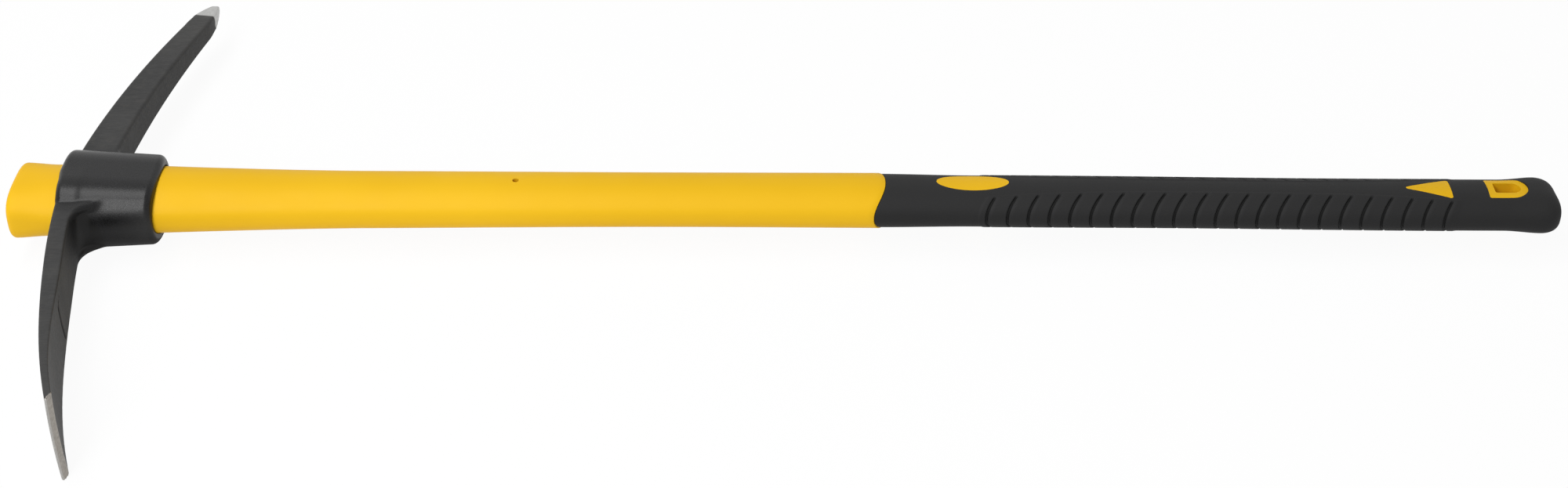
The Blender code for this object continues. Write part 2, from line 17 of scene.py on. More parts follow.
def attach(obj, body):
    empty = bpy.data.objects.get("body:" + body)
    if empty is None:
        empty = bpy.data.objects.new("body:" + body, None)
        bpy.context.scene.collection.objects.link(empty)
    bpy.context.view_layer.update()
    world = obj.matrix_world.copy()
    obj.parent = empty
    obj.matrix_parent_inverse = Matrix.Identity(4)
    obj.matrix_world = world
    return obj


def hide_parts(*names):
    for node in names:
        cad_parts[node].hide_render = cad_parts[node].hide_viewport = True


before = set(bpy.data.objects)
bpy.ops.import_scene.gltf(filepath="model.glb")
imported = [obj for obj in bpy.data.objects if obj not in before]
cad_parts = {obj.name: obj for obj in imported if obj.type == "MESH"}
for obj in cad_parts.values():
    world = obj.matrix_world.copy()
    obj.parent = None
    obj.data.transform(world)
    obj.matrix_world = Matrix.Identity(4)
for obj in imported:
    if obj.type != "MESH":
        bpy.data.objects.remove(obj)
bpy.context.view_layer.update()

# Where the handle's axis lies in the frame
AXIS_START_X = -0.450
AXIS_Y = -0.0041
AXIS_Z = 0.0275

# Handle
HANDLE_LENGTH = 0.900
TOP_SIZE = (0.0584, 0.0356)
TOP_EDGE_RADIUS = 0.0033
FLARE_LENGTH = 0.200
FLARE_POWER = 1.4
NECK_SIZE = (0.0416, 0.0277)
WAIST_SIZE = (0.0402, 0.0268)
HANDLE_SQUARENESS = 2.2
END_SQUARENESS = 3.0
END_LENGTH = 0.0270
END_SHRINK = 0.062
END_SHRINK_SPAN = (0.012, 0.030)
DIP_STATION = 0.370
DIP_RUN = 0.200
DIP_SHARE = 0.032

# The handle's slight bow towards the pick, and how its two ends stray from it
BOW_START = 0.085
BOW_END = 0.760
BOW_HEIGHT = 0.0015
BOW_POWER = 1.5
STRAY_SPAN = (0.640, 0.200)
STRAY_BACK = 0.0007
STRAY_DOWN = 0.0005
END_STRAY = 0.0011
END_STRAY_SPAN = (0.018, 0.030)

# Rod
ROD_SIZE = (0.0230, 0.0130)
ROD_END_STATION = 0.850
ROD_RECESS = 0.0008
ROD_GAP = 0.0003

# Pin holes, and the painted shade down them
PIN_HOLE_STATION = 0.2915
PIN_HOLE_DIAMETER = 0.0038
PIN_HOLE_BOTTOM = 0.6 * ROD_SIZE[1]
PIN_HOLE_SHADE_SPAN = (0.0, 0.004)
PIN_HOLE_SHADE_REACH = 0.51 * PIN_HOLE_DIAMETER

# Grip
GRIP_END = HANDLE_LENGTH
GRIP_START = 0.5035
GRIP_EDGE_WAVE = 0.0035
GRIP_EDGE_STEP = 0.0005
GRIP_WAVE_RUN = 0.0280
JACKET_WAVE_RUN = 0.0350
JACKET_GAP = 0.0001
GRIP_WALL = 0.0027
GRIP_SIZE = (0.0376, 0.0242)
GRIP_LIP_RADIUS = 0.0005
SLIM_STATION = 0.720
SLIM_RUN = 0.140
SLIM_SHARE = 0.016
SHOULDER_END = 0.893

# The jacket's edge against the grip, in lip radii: back from the edge, and below the surface
LIP_PROFILE = ((1.0, 0.0), (0.3, 0.3), (0.0, 1.0))

# Butt. The slant's span is measured across the handle, in half widths
BUTT_SIZE = (0.0402, 0.0258)
BUTT_FLARE_START = 0.866
BUTT_SQUARENESS = 2.37
BUTT_SQUARE_SPAN = (BUTT_FLARE_START, 0.025)
BUTT_DOME_LENGTH = 0.0111
BUTT_DOME_START = GRIP_END - BUTT_DOME_LENGTH
BUTT_DOME_FLAT = 0.27
BUTT_DOME_POWER = 0.53
BUTT_CAP_SHARES = (0.75, 0.5, 0.25)
BUTT_SLANT = 0.0014
BUTT_SLANT_SPAN = (-0.77, 0.74)
BUTT_SHORT = 0.0007
BUTT_SHORT_SPAN = (BUTT_DOME_START - 0.012, 0.014)

# Grooves, on both narrow sides of the grip
GROOVE_COUNT = 23
GROOVE_PITCH = 0.01203
GROOVE_FIRST = 0.5652
GROOVE_LAST = GROOVE_FIRST + GROOVE_PITCH * (GROOVE_COUNT - 1)
GROOVE_WIDTH = 0.0017
GROOVE_DEPTH = 0.0012
GROOVE_PROFILE_FALL = (1.25, 0.6)
GROOVE_SWEEP = math.radians(71)
GROOVE_END_SWEEP = math.radians(56)
GROOVE_TIP_TURN = 0.08
SWEEP_POWER = 3
GROOVE_LEAN = 0.0085
LEAN_LIMIT = 1.2
LEAN_END = 0.861
LEAN_SPAN = (GRIP_START + GRIP_WAVE_RUN, 0.016)
LEAN_FALL = (LEAN_END, 0.025)

# Rows of vertices across a groove, in half widths, and across the rib behind it, in pitches
GROOVE_ROWS = (-1.35, -1.1, -0.85, -0.6, -0.3, 0.0, 0.3, 0.6, 0.85, 1.1, 1.35)
RIB_ROWS = (0.3, 0.5, 0.7, 0.85)
ROW_GAP = 0.0006
ROWS_START = GRIP_START + GRIP_WAVE_RUN + 0.002
ROWS_END = LEAN_END - 0.0005
PLAIN_START = LEAN_END + 0.0015

# The raised pad that the grooves are cut into
PAD_RISE = 0.0003
PAD_MARGIN = 0.0052
PAD_END_RUN = 0.0012
PAD_SWEEP = math.radians(74)
PAD_END_SWEEP = GROOVE_END_SWEEP + 0.06
PAD_EDGE_TURN = 0.04

# Windows
OVAL_STATION = 0.5579
OVAL_OFFSET = 0.0022
OVAL_LENGTH = 0.0422
OVAL_WIDTH = 0.0168
ARROW_TIP_STATION = 0.8074
ARROW_LENGTH = 0.0284
ARROW_WIDTH = 0.0190
ARROW_CORNER_RADIUS = 0.0012
EYELET_START = 0.8572
EYELET_OFFSET = 0.0006
EYELET_LENGTH = 0.0238
EYELET_WIDTH = 0.0188
EYELET_CORNER_RADIUS = 0.0010
EYELET_ROUND_SHARE = 0.999
EYELET_FACE_DEPTH = 0.0006
HANGING_HOLE_LENGTH = 0.0154
HANGING_HOLE_WIDTH = 0.0096
WINDOW_GAP = 0.00008
BOSS_SINK = 0.00004
BOSS_MARGIN = 0.004

# The painted shade in the grooves: how deep it starts and ends, and between which stations it lies
GROOVE_SHADE_SPAN = (0.0002, 0.0007)
GROOVE_SHADE_DEEPEST = GRIP_WALL - 0.0006
GROOVE_SHADE_START = GROOVE_FIRST - 0.004
GROOVE_SHADE_END = EYELET_START - 0.003

# A height over the axis that lies outside the handle wherever something is cut through it
CLEAR_HEIGHT = 0.0277

# Collar, whose depths are measured from its upper rim
HEAD_STATION = 0.0278
COLLAR_LENGTH = 0.0565
COLLAR_TOP_SIZE = (0.0670, 0.0470)
COLLAR_LOWER_SIZE = (0.0610, 0.0410)
COLLAR_TAPER_OVERRUN = 0.2
COLLAR_SIDE_CENTRE = 0.0080
COLLAR_SIDE_CROWN = 0.0010
COLLAR_SIDE_POWER = 2.0
COLLAR_EDGE_SOFTNESS = 0.0055
COLLAR_RIM_RADIUS = 0.0036
EYE_CLEARANCE = 0.0003
EYE_RIM_SOFTNESS = 0.0007

# The collar's two rims. Each curve is for the blade's side and the pick's side, per metre
RIM_CURVE_REACH = 0.036
COLLAR_BACK_CURVE = (2.0, 0.8)
COLLAR_BACK_STEP = 0.0012
COLLAR_BACK_STEP_FALL = (0.0, 0.012)
COLLAR_FRONT_CURVE = (1.4, 2.6)
COLLAR_FRONT_BULGE = 0.0008

# The raised band at the collar's upper end, which fades on the pick's side
BAND_RISE = 0.0004
BAND_END_SPAN = (0.0130, 0.0050)
BAND_FADE_FALL = (0.004, 0.026)

# Blade
BLADE_REACH = 0.2208
BLADE_SET_BACK = 0.0030
BLADE_ROOT_SLOPE = 0.105
BLADE_CURVE_RADIUS = 0.757
BLADE_ROOT_REACH = 0.0270
BLADE_ROOT_THICKNESS = 0.0102
BLADE_END_THICKNESS = 0.0042
BLADE_THINNING_SPAN = (0.075, 0.130)
BLADE_ROOT_WIDTH = 0.0325
BLADE_WAIST_WIDTH = 0.0335
BLADE_WAIST_REACH = 0.0920
BLADE_WAIST_FALL = (BLADE_WAIST_REACH, BLADE_WAIST_REACH - BLADE_ROOT_REACH)
BLADE_EDGE_WIDTH = 0.0550
BLADE_FLARE_POWER = 1.4
BLADE_FLARE_LIMIT = 1.1
BLADE_ROOT_SOFTNESS = 0.0015
BLADE_END_SOFTNESS = 0.0009
BLADE_CORNER_RADII = (0.0020, 0.0026)
BLADE_CROWN = 0.0008
BLADE_CROWN_SPAN = (0.12, 0.09)
BLADE_EDGE_THICKNESS = 0.0006
BEVEL_LENGTH = 0.0054
BEVEL_START = BLADE_REACH - BEVEL_LENGTH

# The shallow die mark across the blade's inner face, which bows and curls up at its upper end
MARK_REACH = 0.1193
MARK_WIDTH = 0.0012
MARK_DEPTH = 0.0009
MARK_BOW = 11.5
MARK_BOW_CENTRE = 0.003
MARK_CURL = 1700
MARK_CURL_START = 0.0092
MARK_UPPER_FALL = (0.0117, 0.002)
MARK_LOWER_SPAN = (-0.0165, 0.004)

# Buttress in the corner between the blade and the collar, with the pocket pressed into it
BUTTRESS_END = 0.0290
BUTTRESS_SLOPE = 0.48
BUTTRESS_BLEND = 0.0090
BUTTRESS_RUN_OUT = 0.0045
POCKET_HALF_HEIGHT = 0.0150
POCKET_EDGE_RUN = 0.0045
POCKET_SHARE = 0.62

# Pick
PICK_REACH = 0.2275
PICK_ROOT_REACH = 0.0320
PICK_INNER_OFFSET = 0.0228
PICK_ROOT_SLOPE = 0.045
PICK_CURVE_RADIUS = 0.878
PICK_ROOT_DEPTH = 0.0218
PICK_ROOT_HEIGHT = 0.0204
PICK_SHOULDER_DEPTH = 0.0158
PICK_SHOULDER_HEIGHT = 0.0120
PICK_TAPER_POWER = 1.4
PICK_POINT_LENGTH = 0.0325
PICK_SHOULDER_REACH = PICK_REACH - PICK_POINT_LENGTH
PICK_POINT_SLOPE = 0.185
PICK_POINT_STEEPNESS = 0.35
PICK_POINT_POWER = 1.8
PICK_POINT_LIMIT = 1.05
PICK_TIP_SHARE = 0.28
PICK_TIP_SOFTNESS = 0.0022
PICK_EDGE_SOFTNESS = 0.0022
PICK_POINT_SOFTNESS = 0.0010
PICK_SOFTNESS_SPAN = (0.25, 0.2)
PICK_INNER_BLEND = 0.0120
PICK_BACK_GAP = 0.0004

# How far an arm's blend starts below the collar's side, where it ends, and how sharply they meet
BLEND_ROOT = 0.0005
BLEND_ROOT_EXTRA = 0.0016
BLEND_ROOT_SPAN = (0.024, 0.018)
BLEND_END = COLLAR_LENGTH - 3 * COLLAR_RIM_RADIUS
ARM_SEAM = 0.0012

# Added to an arm's distance on the head's other side, so that it has no effect there
FAR_AWAY = 1.0

# Where the head's finish changes, and where shade is painted on it. The NORMAL ones go by the surface
# normal's part along x or z
BARE_BEVEL_SPAN = (-0.0008, 0.0004)
BARE_EDGE_SPAN = (BLADE_REACH - 0.0013, 0.0005)
KEEN_EDGE_SPAN = (BLADE_REACH - 0.0012, 0.0006)
BRIGHT_START = PICK_REACH - 0.0207
BRIGHT_DEPTH = 0.0465
BRIGHT_TILT = 0.19
BRIGHT_RIPPLE = 0.0005
BRIGHT_RIPPLE_RATE = 900
BRIGHT_RUN = 0.0010
# Painted shade, dark and warm, on the arms' faces that turn down the handle: strongest on the blade near
# its root, faint on the pick
WARM_SHADE_NORMAL_SPAN = (0.3, 0.5)
WARM_SHADE_REACH_SPAN = (0.034, 0.02)
WARM_SHADE_PICK_SHARE = 0.1
WARM_SHADE_BLADE_LOSS = 0.7
WARM_SHADE_LOSS_SPAN = (0.095, 0.05)
PALE_PICK_SHARE = 0.5
PALE_BLADE_SHARE = 0.3
PALE_REACH_SPAN = (0.12, 0.08)
UNDER_NORMAL_FALL = (0.15, 0.5)
SATIN_REACH_SPAN = (0.034, 0.008)
SATIN_NARROWING = 0.25
SATIN_NARROWING_DEPTH = 0.02

# The painted shade in the pocket and in the die mark
DARK_FRONT_DEPTH = 0.0285
DARK_FRONT_BOW = 31
DARK_FRONT_CENTRE = -0.004
DARK_FRONT_RUN = 0.0015
DARK_BACK_SPAN = (0.0105, 0.002)
DARK_ROOT_Y = -0.015
DARK_OUTER_SPAN = (-0.085, 0.040)
DARK_TOP_FALL = (POCKET_HALF_HEIGHT, 0.002)
DARK_MARK_SPAN = (0.1, 0.6)
DARK_MARK_DEPTH = 0.004

# How finely the pieces are divided, and how the head's vertices are moved onto its surface
HEAD_CELL = 0.00065
HEAD_MARGIN = 0.004
NET_SLAB = 40
SETTLE_ROUNDS = 7
SETTLE_STEP = 0.6
SETTLE_LEAST_SLOPE = 1e-3
HANDLE_SIDES = 192
ROUND_SIDES = 96
PIN_HOLE_SIDES = 32
CORNER_STEPS = 9
EYELET_CORNER_STEPS = 17
TOP_EDGE_RINGS = 9
FLARE_RINGS = 60
WAIST_RINGS = 24
JACKET_WAVE_RINGS = 9
COVERED_RINGS = 24
BOSS_RINGS = 120
GRIP_LIP_RINGS = 5
GRIP_WAVE_RINGS = 15
LEAD_ROWS = 46
TAIL_ROWS = 16
PLAIN_RINGS = 22
BUTT_DOME_RINGS = 26
SHARP_ANGLE = math.radians(35)
GRIP_SHARP_ANGLE = math.radians(50)
TINY = 1e-9


# Shapes shared by the pieces

def ease(share):
    """A smooth step from 0 to 1."""
    share = np.clip(share, 0.0, 1.0)
    return share * share * (3 - 2 * share)


def rise(value, start, run):
    """0 up to the start, 1 a run past it, and a smooth step between."""
    return ease((value - start) / run)


def fall(value, end, run):
    """0 past the end, 1 a run before it, and a smooth step between."""
    return ease((end - value) / run)


def hump(station, middle, run):
    """A smooth hump of height 1 round a station."""
    return 1 - ease(np.abs(station - middle) / run)


def between(first, second, share):
    """What lies a share of the way from the first value to the second."""
    return first + (second - first) * share


def bow(station):
    """How far the handle's middle line strays towards the pick."""
    share = np.clip((station - BOW_START) / (BOW_END - BOW_START), 0.0, 1.0)
    back = STRAY_BACK * rise(station, *STRAY_SPAN)
    back = back + END_STRAY * (1 - rise(station, *END_STRAY_SPAN))
    return BOW_HEIGHT * np.maximum(np.sin(math.pi * share), 0.0) ** BOW_POWER - back


def droop(station):
    """How far the handle's middle line lies below its straight axis."""
    return STRAY_DOWN * rise(station, *STRAY_SPAN)


def jacket_size(station):
    """Half width and half thickness of the bare handle above the grip."""
    along = np.clip((station - FLARE_LENGTH) / (GRIP_START - FLARE_LENGTH), 0.0, 1.0)
    share = np.clip(1 - np.maximum(station, END_LENGTH) / FLARE_LENGTH, 0.0, None) ** FLARE_POWER
    slim = 1 - DIP_SHARE * hump(station, DIP_STATION, DIP_RUN)
    slim = slim - END_SHRINK * (1 - rise(station, *END_SHRINK_SPAN))
    return [(between(neck, waist, along) + (top - neck) * share) / 2 * slim
            for top, neck, waist in zip(TOP_SIZE, NECK_SIZE, WAIST_SIZE)]


def grip_size(station):
    """Half width and half thickness of the grip."""
    front_share = 1 - rise(station, GRIP_START, OVAL_STATION - GRIP_START)
    butt_share = rise(station, BUTT_FLARE_START, BUTT_DOME_START - BUTT_FLARE_START)
    slim = 1 - SLIM_SHARE * hump(station, SLIM_STATION, SLIM_RUN)
    return [(between(middle / 2, front - GRIP_EDGE_STEP, front_share)
             + (butt - middle) / 2 * butt_share) * slim
            for front, middle, butt in zip(jacket_size(GRIP_START), GRIP_SIZE, BUTT_SIZE)]


def under_grip_size(station, gap=0.0):
    """Half width and half thickness of the jacket, or of the grip's hollow, where the grip covers it."""
    return [half - GRIP_WALL + gap for half in grip_size(station)]


def turns(sides=HANDLE_SIDES):
    """Angles round the handle."""
    return np.arange(sides) * 2 * math.pi / sides


def signed_power(value, power):
    """A power that keeps the sign."""
    return np.sign(value) * np.abs(value) ** power


def squareness(station):
    """How square the handle's section is: a little more at both its ends."""
    top = (END_SQUARENESS - HANDLE_SQUARENESS) * (1 - ease(station / END_LENGTH))
    butt = (BUTT_SQUARENESS - HANDLE_SQUARENESS) * rise(station, *BUTT_SQUARE_SPAN)
    return HANDLE_SQUARENESS + top + butt


def oval_ring(station, size, inset=0.0, sides=HANDLE_SIDES):
    """Points round the handle, in the frame. The station may differ from point to point."""
    angles = turns(sides)
    power = 2 / squareness(station)
    ring = np.empty((sides, 3))
    ring[:, 0] = AXIS_START_X + station
    ring[:, 1] = AXIS_Y + bow(station) + (size[0] - inset) * signed_power(np.cos(angles), power)
    ring[:, 2] = AXIS_Z - droop(station) + (size[1] - inset) * signed_power(np.sin(angles), power)
    return ring


def rings_along(stations, size_at, inset=0.0):
    """Rings round the handle at some stations, each with the size that it has there."""
    return [oval_ring(station, size_at(station), inset) for station in stations]


def covered_rings(gap=0.0):
    """Rings of the face between the jacket and the grip, from the grip's edge to the shoulder."""
    stations = spaced(GRIP_START + 2 * GRIP_EDGE_WAVE, SHOULDER_END, COVERED_RINGS)
    edge = oval_ring(GRIP_START + gap + wave(), under_grip_size(GRIP_START, gap))
    return [edge] + [oval_ring(station, under_grip_size(station, gap)) for station in stations]


def rod_rings(stations, gap=0.0):
    """Rings of the rod, or of its bore, which is a gap wider."""
    half_size = [size / 2 for size in ROD_SIZE]
    return [oval_ring(station, half_size, -gap, ROUND_SIDES) for station in stations]


def wave(share=1.0):
    """How far down the handle the grip's wavy front edge lies, at each angle round it."""
    return -GRIP_EDGE_WAVE * share * np.cos(2 * turns())


def loft(rings):
    """A closed mesh through rings of equally many points, capped at both ends."""
    points = np.concatenate(rings)
    sides = len(rings[0])
    index = np.arange(sides)
    following = (index + 1) % sides
    faces = []
    for row in range(len(rings) - 1):
        low = row * sides
        high = low + sides
        corners = [low + index, low + following, high + following, high + index]
        faces.extend(np.stack(corners, axis=1).tolist())
    faces.append(list(reversed(range(sides))))
    faces.append(list(range(len(points) - sides, len(points))))
    mesh = bpy.data.meshes.new("loft")
    mesh.from_pydata(points.tolist(), [], faces)
    work = bmesh.new()
    work.from_mesh(mesh)
    bmesh.ops.recalc_face_normals(work, faces=work.faces)
    work.to_mesh(mesh)
    work.free()
    return mesh


def join(meshes):
    """One mesh out of several closed ones."""
    work = bmesh.new()
    for mesh in meshes:
        work.from_mesh(mesh)
        bpy.data.meshes.remove(mesh)
    joined = bpy.data.meshes.new("joined")
    work.to_mesh(joined)
    work.free()
    return joined


def add_object(name, data):
    """A new object in the scene."""
    data.name = name
    made = bpy.data.objects.new(name, data)
    bpy.context.scene.collection.objects.link(made)
    return made


def cut(target, mesh, operation="DIFFERENCE"):
    """Combine a mesh with the target at once."""
    tool = add_object("tool", mesh)
    modifier = target.modifiers.new("combine", "BOOLEAN")
    modifier.operation = operation
    modifier.solver = "EXACT"
    modifier.object = tool
    graph = bpy.context.evaluated_depsgraph_get()
    result = bpy.data.meshes.new_from_object(target.evaluated_get(graph))
    target.modifiers.clear()
    old = target.data
    target.data = result
    bpy.data.meshes.remove(old)
    bpy.data.objects.remove(tool)


def shade(target, angle=SHARP_ANGLE):
    """Smooth faces with sharp edges where they turn by more than the angle."""
    target.data.shade_smooth()
    target.data.set_sharp_from_angle(angle=angle)


def add_mask(mesh, name, values):
    """A value for each vertex, for the materials."""
    mask = mesh.attributes.new(name, "FLOAT", "POINT")
    mask.data.foreach_set("value", values.astype(np.float32))


def spaced(start, end, count):
    """Evenly spaced values, both ends included."""
    return np.linspace(start, end, count)


# Windows, as outlines of (station, y) points that run anticlockwise

def rounded_outline(corners, radii, grow, steps=CORNER_STEPS):
    """A polygon with a radius to each corner, grown outwards."""
    outline = []
    for index, corner in enumerate(corners):
        here = Vector(corner)
        arriving = (here - Vector(corners[index - 1])).normalized()
        leaving = (Vector(corners[(index + 1) % len(corners)]) - here).normalized()
        turn = arriving.angle(leaving)
        centre = here + (leaving - arriving).normalized() * radii[index] / math.cos(turn / 2)
        first = math.atan2(-arriving.x, arriving.y)
        for angle in spaced(first, first + turn, steps):
            outline.append((centre.x + (radii[index] + grow) * math.cos(angle),
                            centre.y + (radii[index] + grow) * math.sin(angle)))
    return outline


def ellipse(station, y, length, width, sides):
    """An ellipse round a place."""
    return [(station + length / 2 * math.cos(angle), y + width / 2 * math.sin(angle))
            for angle in turns(sides)]


def eyelet_outline(start, length, width, grow=0.0):
    """A D lying along the handle, its round end at the back."""
    end = start + length
    half = width / 2
    low = EYELET_OFFSET - half
    high = EYELET_OFFSET + half
    corners = [(start, low), (end, low), (end, high), (start, high)]
    tight = EYELET_CORNER_RADIUS
    wide = half * EYELET_ROUND_SHARE
    return rounded_outline(corners, [tight, wide, wide, tight], grow, EYELET_CORNER_STEPS)


def window_outlines(grow=0.0):
    """The oval, the triangle that points to the head, and the D round the hanging hole."""
    oval = ellipse(OVAL_STATION, OVAL_OFFSET, OVAL_LENGTH + 2 * grow, OVAL_WIDTH + 2 * grow, ROUND_SIDES)
    base = ARROW_TIP_STATION + ARROW_LENGTH
    corners = [(ARROW_TIP_STATION, 0.0), (base, -ARROW_WIDTH / 2), (base, ARROW_WIDTH / 2)]
    arrow = rounded_outline(corners, [ARROW_CORNER_RADIUS] * 3, grow)
    return [oval, arrow, eyelet_outline(EYELET_START, EYELET_LENGTH, EYELET_WIDTH, grow)]


def prism(outline, low=-CLEAR_HEIGHT, high=CLEAR_HEIGHT):
    """An outline extruded between two heights over the handle's axis."""
    flat = np.array(outline)
    rings = []
    for height in (low, high):
        ring = np.empty((len(flat), 3))
        ring[:, 0] = AXIS_START_X + flat[:, 0]
        ring[:, 1] = AXIS_Y + bow(flat[:, 0]) + flat[:, 1]
        ring[:, 2] = AXIS_Z + height
        rings.append(ring)
    return loft(rings)


# Head, as fields of depth, y and height that are negative inside the steel

def blend_union(first, second, softness):
    """The union of two fields with a hollow blend between them."""
    share = np.clip(softness - np.abs(first - second), 0.0, None) / softness
    return np.minimum(first, second) - share * share * softness / 4


def blend_cut(first, second, softness):
    """The intersection of two fields with a rounded edge between them."""
    return -blend_union(-first, -second, softness)


def rounded_corner(first, second, radius):
    """The intersection of two fields, its edge an arc."""
    a = first + radius
    b = second + radius
    outside = np.hypot(np.maximum(a, 0.0), np.maximum(b, 0.0))
    return outside + np.minimum(np.maximum(a, b), 0.0) - radius


def soft_ramp(value, run):
    """The value where it is positive, else 0, with a curved start."""
    share = np.clip(value / run, -1.0, 1.0)
    return np.where(value > run, value, run * (share + 1) ** 2 / 4)


def oval_distance(y, z, half_width, half_thickness, power=HANDLE_SQUARENESS):
    """About how far a point lies outside an oval."""
    across = np.abs(y) / half_width
    up = np.abs(z) / half_thickness
    size = np.maximum(across ** power + up ** power, TINY) ** (1 / power)
    slope = size ** (1 - power)
    steep = np.hypot(slope * across ** (power - 1) / half_width,
                     slope * up ** (power - 1) / half_thickness)
    return (size - 1) / np.maximum(steep, TINY)


def collar_side(depth, y, z):
    """How far a point lies outside the collar's side: flat above and below, crowned between."""
    share = np.clip(depth / COLLAR_LENGTH, -COLLAR_TAPER_OVERRUN, 1 + COLLAR_TAPER_OVERRUN)
    half_width, half_thickness = (between(top, lower, share) / 2
                                  for top, lower in zip(COLLAR_TOP_SIZE, COLLAR_LOWER_SIZE))
    beyond = np.maximum(np.abs(y) - COLLAR_SIDE_CENTRE, 0.0)
    crown = oval_distance(beyond, z, half_width - COLLAR_SIDE_CENTRE,
                          half_thickness + COLLAR_SIDE_CROWN, COLLAR_SIDE_POWER)
    side = blend_cut(crown, np.abs(z) - half_thickness, COLLAR_EDGE_SOFTNESS)
    band = 1 - rise(depth, *BAND_END_SPAN)
    return side - BAND_RISE * band * fall(y, *BAND_FADE_FALL)


def rim_curve(y, curve):
    """How far a rim curves away from the collar's end towards the arms."""
    near = np.clip(y, -RIM_CURVE_REACH, RIM_CURVE_REACH)
    return np.where(y < 0, *curve) * near * near


def back_rim(y):
    """Depth of the collar's upper rim, which is lower towards the arms."""
    return COLLAR_BACK_STEP * fall(y, *COLLAR_BACK_STEP_FALL) + rim_curve(y, COLLAR_BACK_CURVE)


def front_rim(y):
    """Depth of the collar's lower rim, which is higher towards the arms."""
    return COLLAR_LENGTH + COLLAR_FRONT_BULGE - rim_curve(y, COLLAR_FRONT_CURVE)


def eye_field(depth, y, z):
    """The eye, which fits the handle's flare."""
    station = HEAD_STATION + depth
    half_width, half_thickness = jacket_size(station)
    return oval_distance(y - bow(station), z, half_width + EYE_CLEARANCE, half_thickness + EYE_CLEARANCE)


def sunk_root(depth):
    """How far an arm's blend lies below the collar's side: deeper down the collar."""
    return BLEND_ROOT + BLEND_ROOT_EXTRA * rise(depth, *BLEND_ROOT_SPAN)


def blade_outer(reach, z=BLADE_EDGE_WIDTH / 2):
    """Depth of the blade's outer face, which is crowned a little near its cutting edge."""
    run = reach - BLADE_ROOT_REACH
    across = np.clip(2 * z / BLADE_EDGE_WIDTH, -1.0, 1.0)
    crown = BLADE_CROWN * (1 - across * across) * rise(reach, *BLADE_CROWN_SPAN)
    curve = BLADE_ROOT_SLOPE * run + run * np.abs(run) / (2 * BLADE_CURVE_RADIUS)
    return BLADE_SET_BACK + curve - crown


def blade_thickness(reach):
    """Thickness of the blade."""
    return between(BLADE_ROOT_THICKNESS, BLADE_END_THICKNESS, rise(reach, *BLADE_THINNING_SPAN))


def blade_width(reach):
    """Width of the blade."""
    flare = (reach - BLADE_WAIST_REACH) / (BLADE_REACH - BLADE_WAIST_REACH)
    flare = np.clip(flare, 0.0, BLADE_FLARE_LIMIT) ** BLADE_FLARE_POWER
    width = between(BLADE_WAIST_WIDTH, BLADE_ROOT_WIDTH, fall(reach, *BLADE_WAIST_FALL))
    return width + (BLADE_EDGE_WIDTH - BLADE_WAIST_WIDTH) * flare


def forging_mark(reach, z):
    """Depth of the die mark on the blade's inner face."""
    curl = np.maximum(z - MARK_CURL_START, 0.0)
    middle = MARK_REACH - MARK_BOW * (z - MARK_BOW_CENTRE) ** 2 - MARK_CURL * curl * curl
    across = (reach - middle) / MARK_WIDTH
    ends = fall(z, *MARK_UPPER_FALL) * rise(z, *MARK_LOWER_SPAN)
    return MARK_DEPTH * np.exp(-across * across) * ends


def bevel_field(depth, reach, z):
    """How far a point lies outside the blade's ground bevel."""
    edge_depth = blade_outer(BLADE_REACH, z) + BLADE_EDGE_THICKNESS
    drop = blade_outer(BEVEL_START, z) + blade_thickness(BEVEL_START) - edge_depth
    length = np.hypot(drop, BEVEL_LENGTH)
    return ((depth - edge_depth) * BEVEL_LENGTH + (reach - BLADE_REACH) * drop) / length


def blade_field(depth, y, z, side):
    """The blade, with its buttress, flare and ground bevel."""
    reach = -y
    run = np.maximum(reach - BLADE_ROOT_REACH, 0.0)
    steepness = np.hypot(1.0, BLADE_ROOT_SLOPE + run / BLADE_CURVE_RADIUS)
    outer = blade_outer(reach, z)
    inner = outer + blade_thickness(reach)
    along = np.clip(run / (BLADE_REACH - BLADE_ROOT_REACH), 0.0, 1.0)
    softness = between(BLADE_ROOT_SOFTNESS, BLADE_END_SOFTNESS, along)

    hollow = 1 - POCKET_SHARE * fall(np.abs(z), POCKET_HALF_HEIGHT, POCKET_EDGE_RUN)
    ramp = BUTTRESS_SLOPE * hollow * soft_ramp(BUTTRESS_END - depth, BUTTRESS_RUN_OUT)
    buttress = (side + sunk_root(depth) - ramp) / math.hypot(1.0, BUTTRESS_SLOPE)
    buttress = np.maximum(buttress, depth - BLEND_END)
    body = blend_union((depth - inner) / steepness, buttress, BUTTRESS_BLEND)
    body = body + forging_mark(reach, z) * (depth > (outer + inner) / 2)
    body = blend_cut(body, (outer - depth) / steepness, softness)
    outline = rounded_corner(np.abs(z) - blade_width(reach) / 2, reach - BLADE_REACH,
                             np.where(z < 0, *BLADE_CORNER_RADII))
    body = blend_cut(body, outline, softness)
    return np.maximum(body, bevel_field(depth, reach, z))


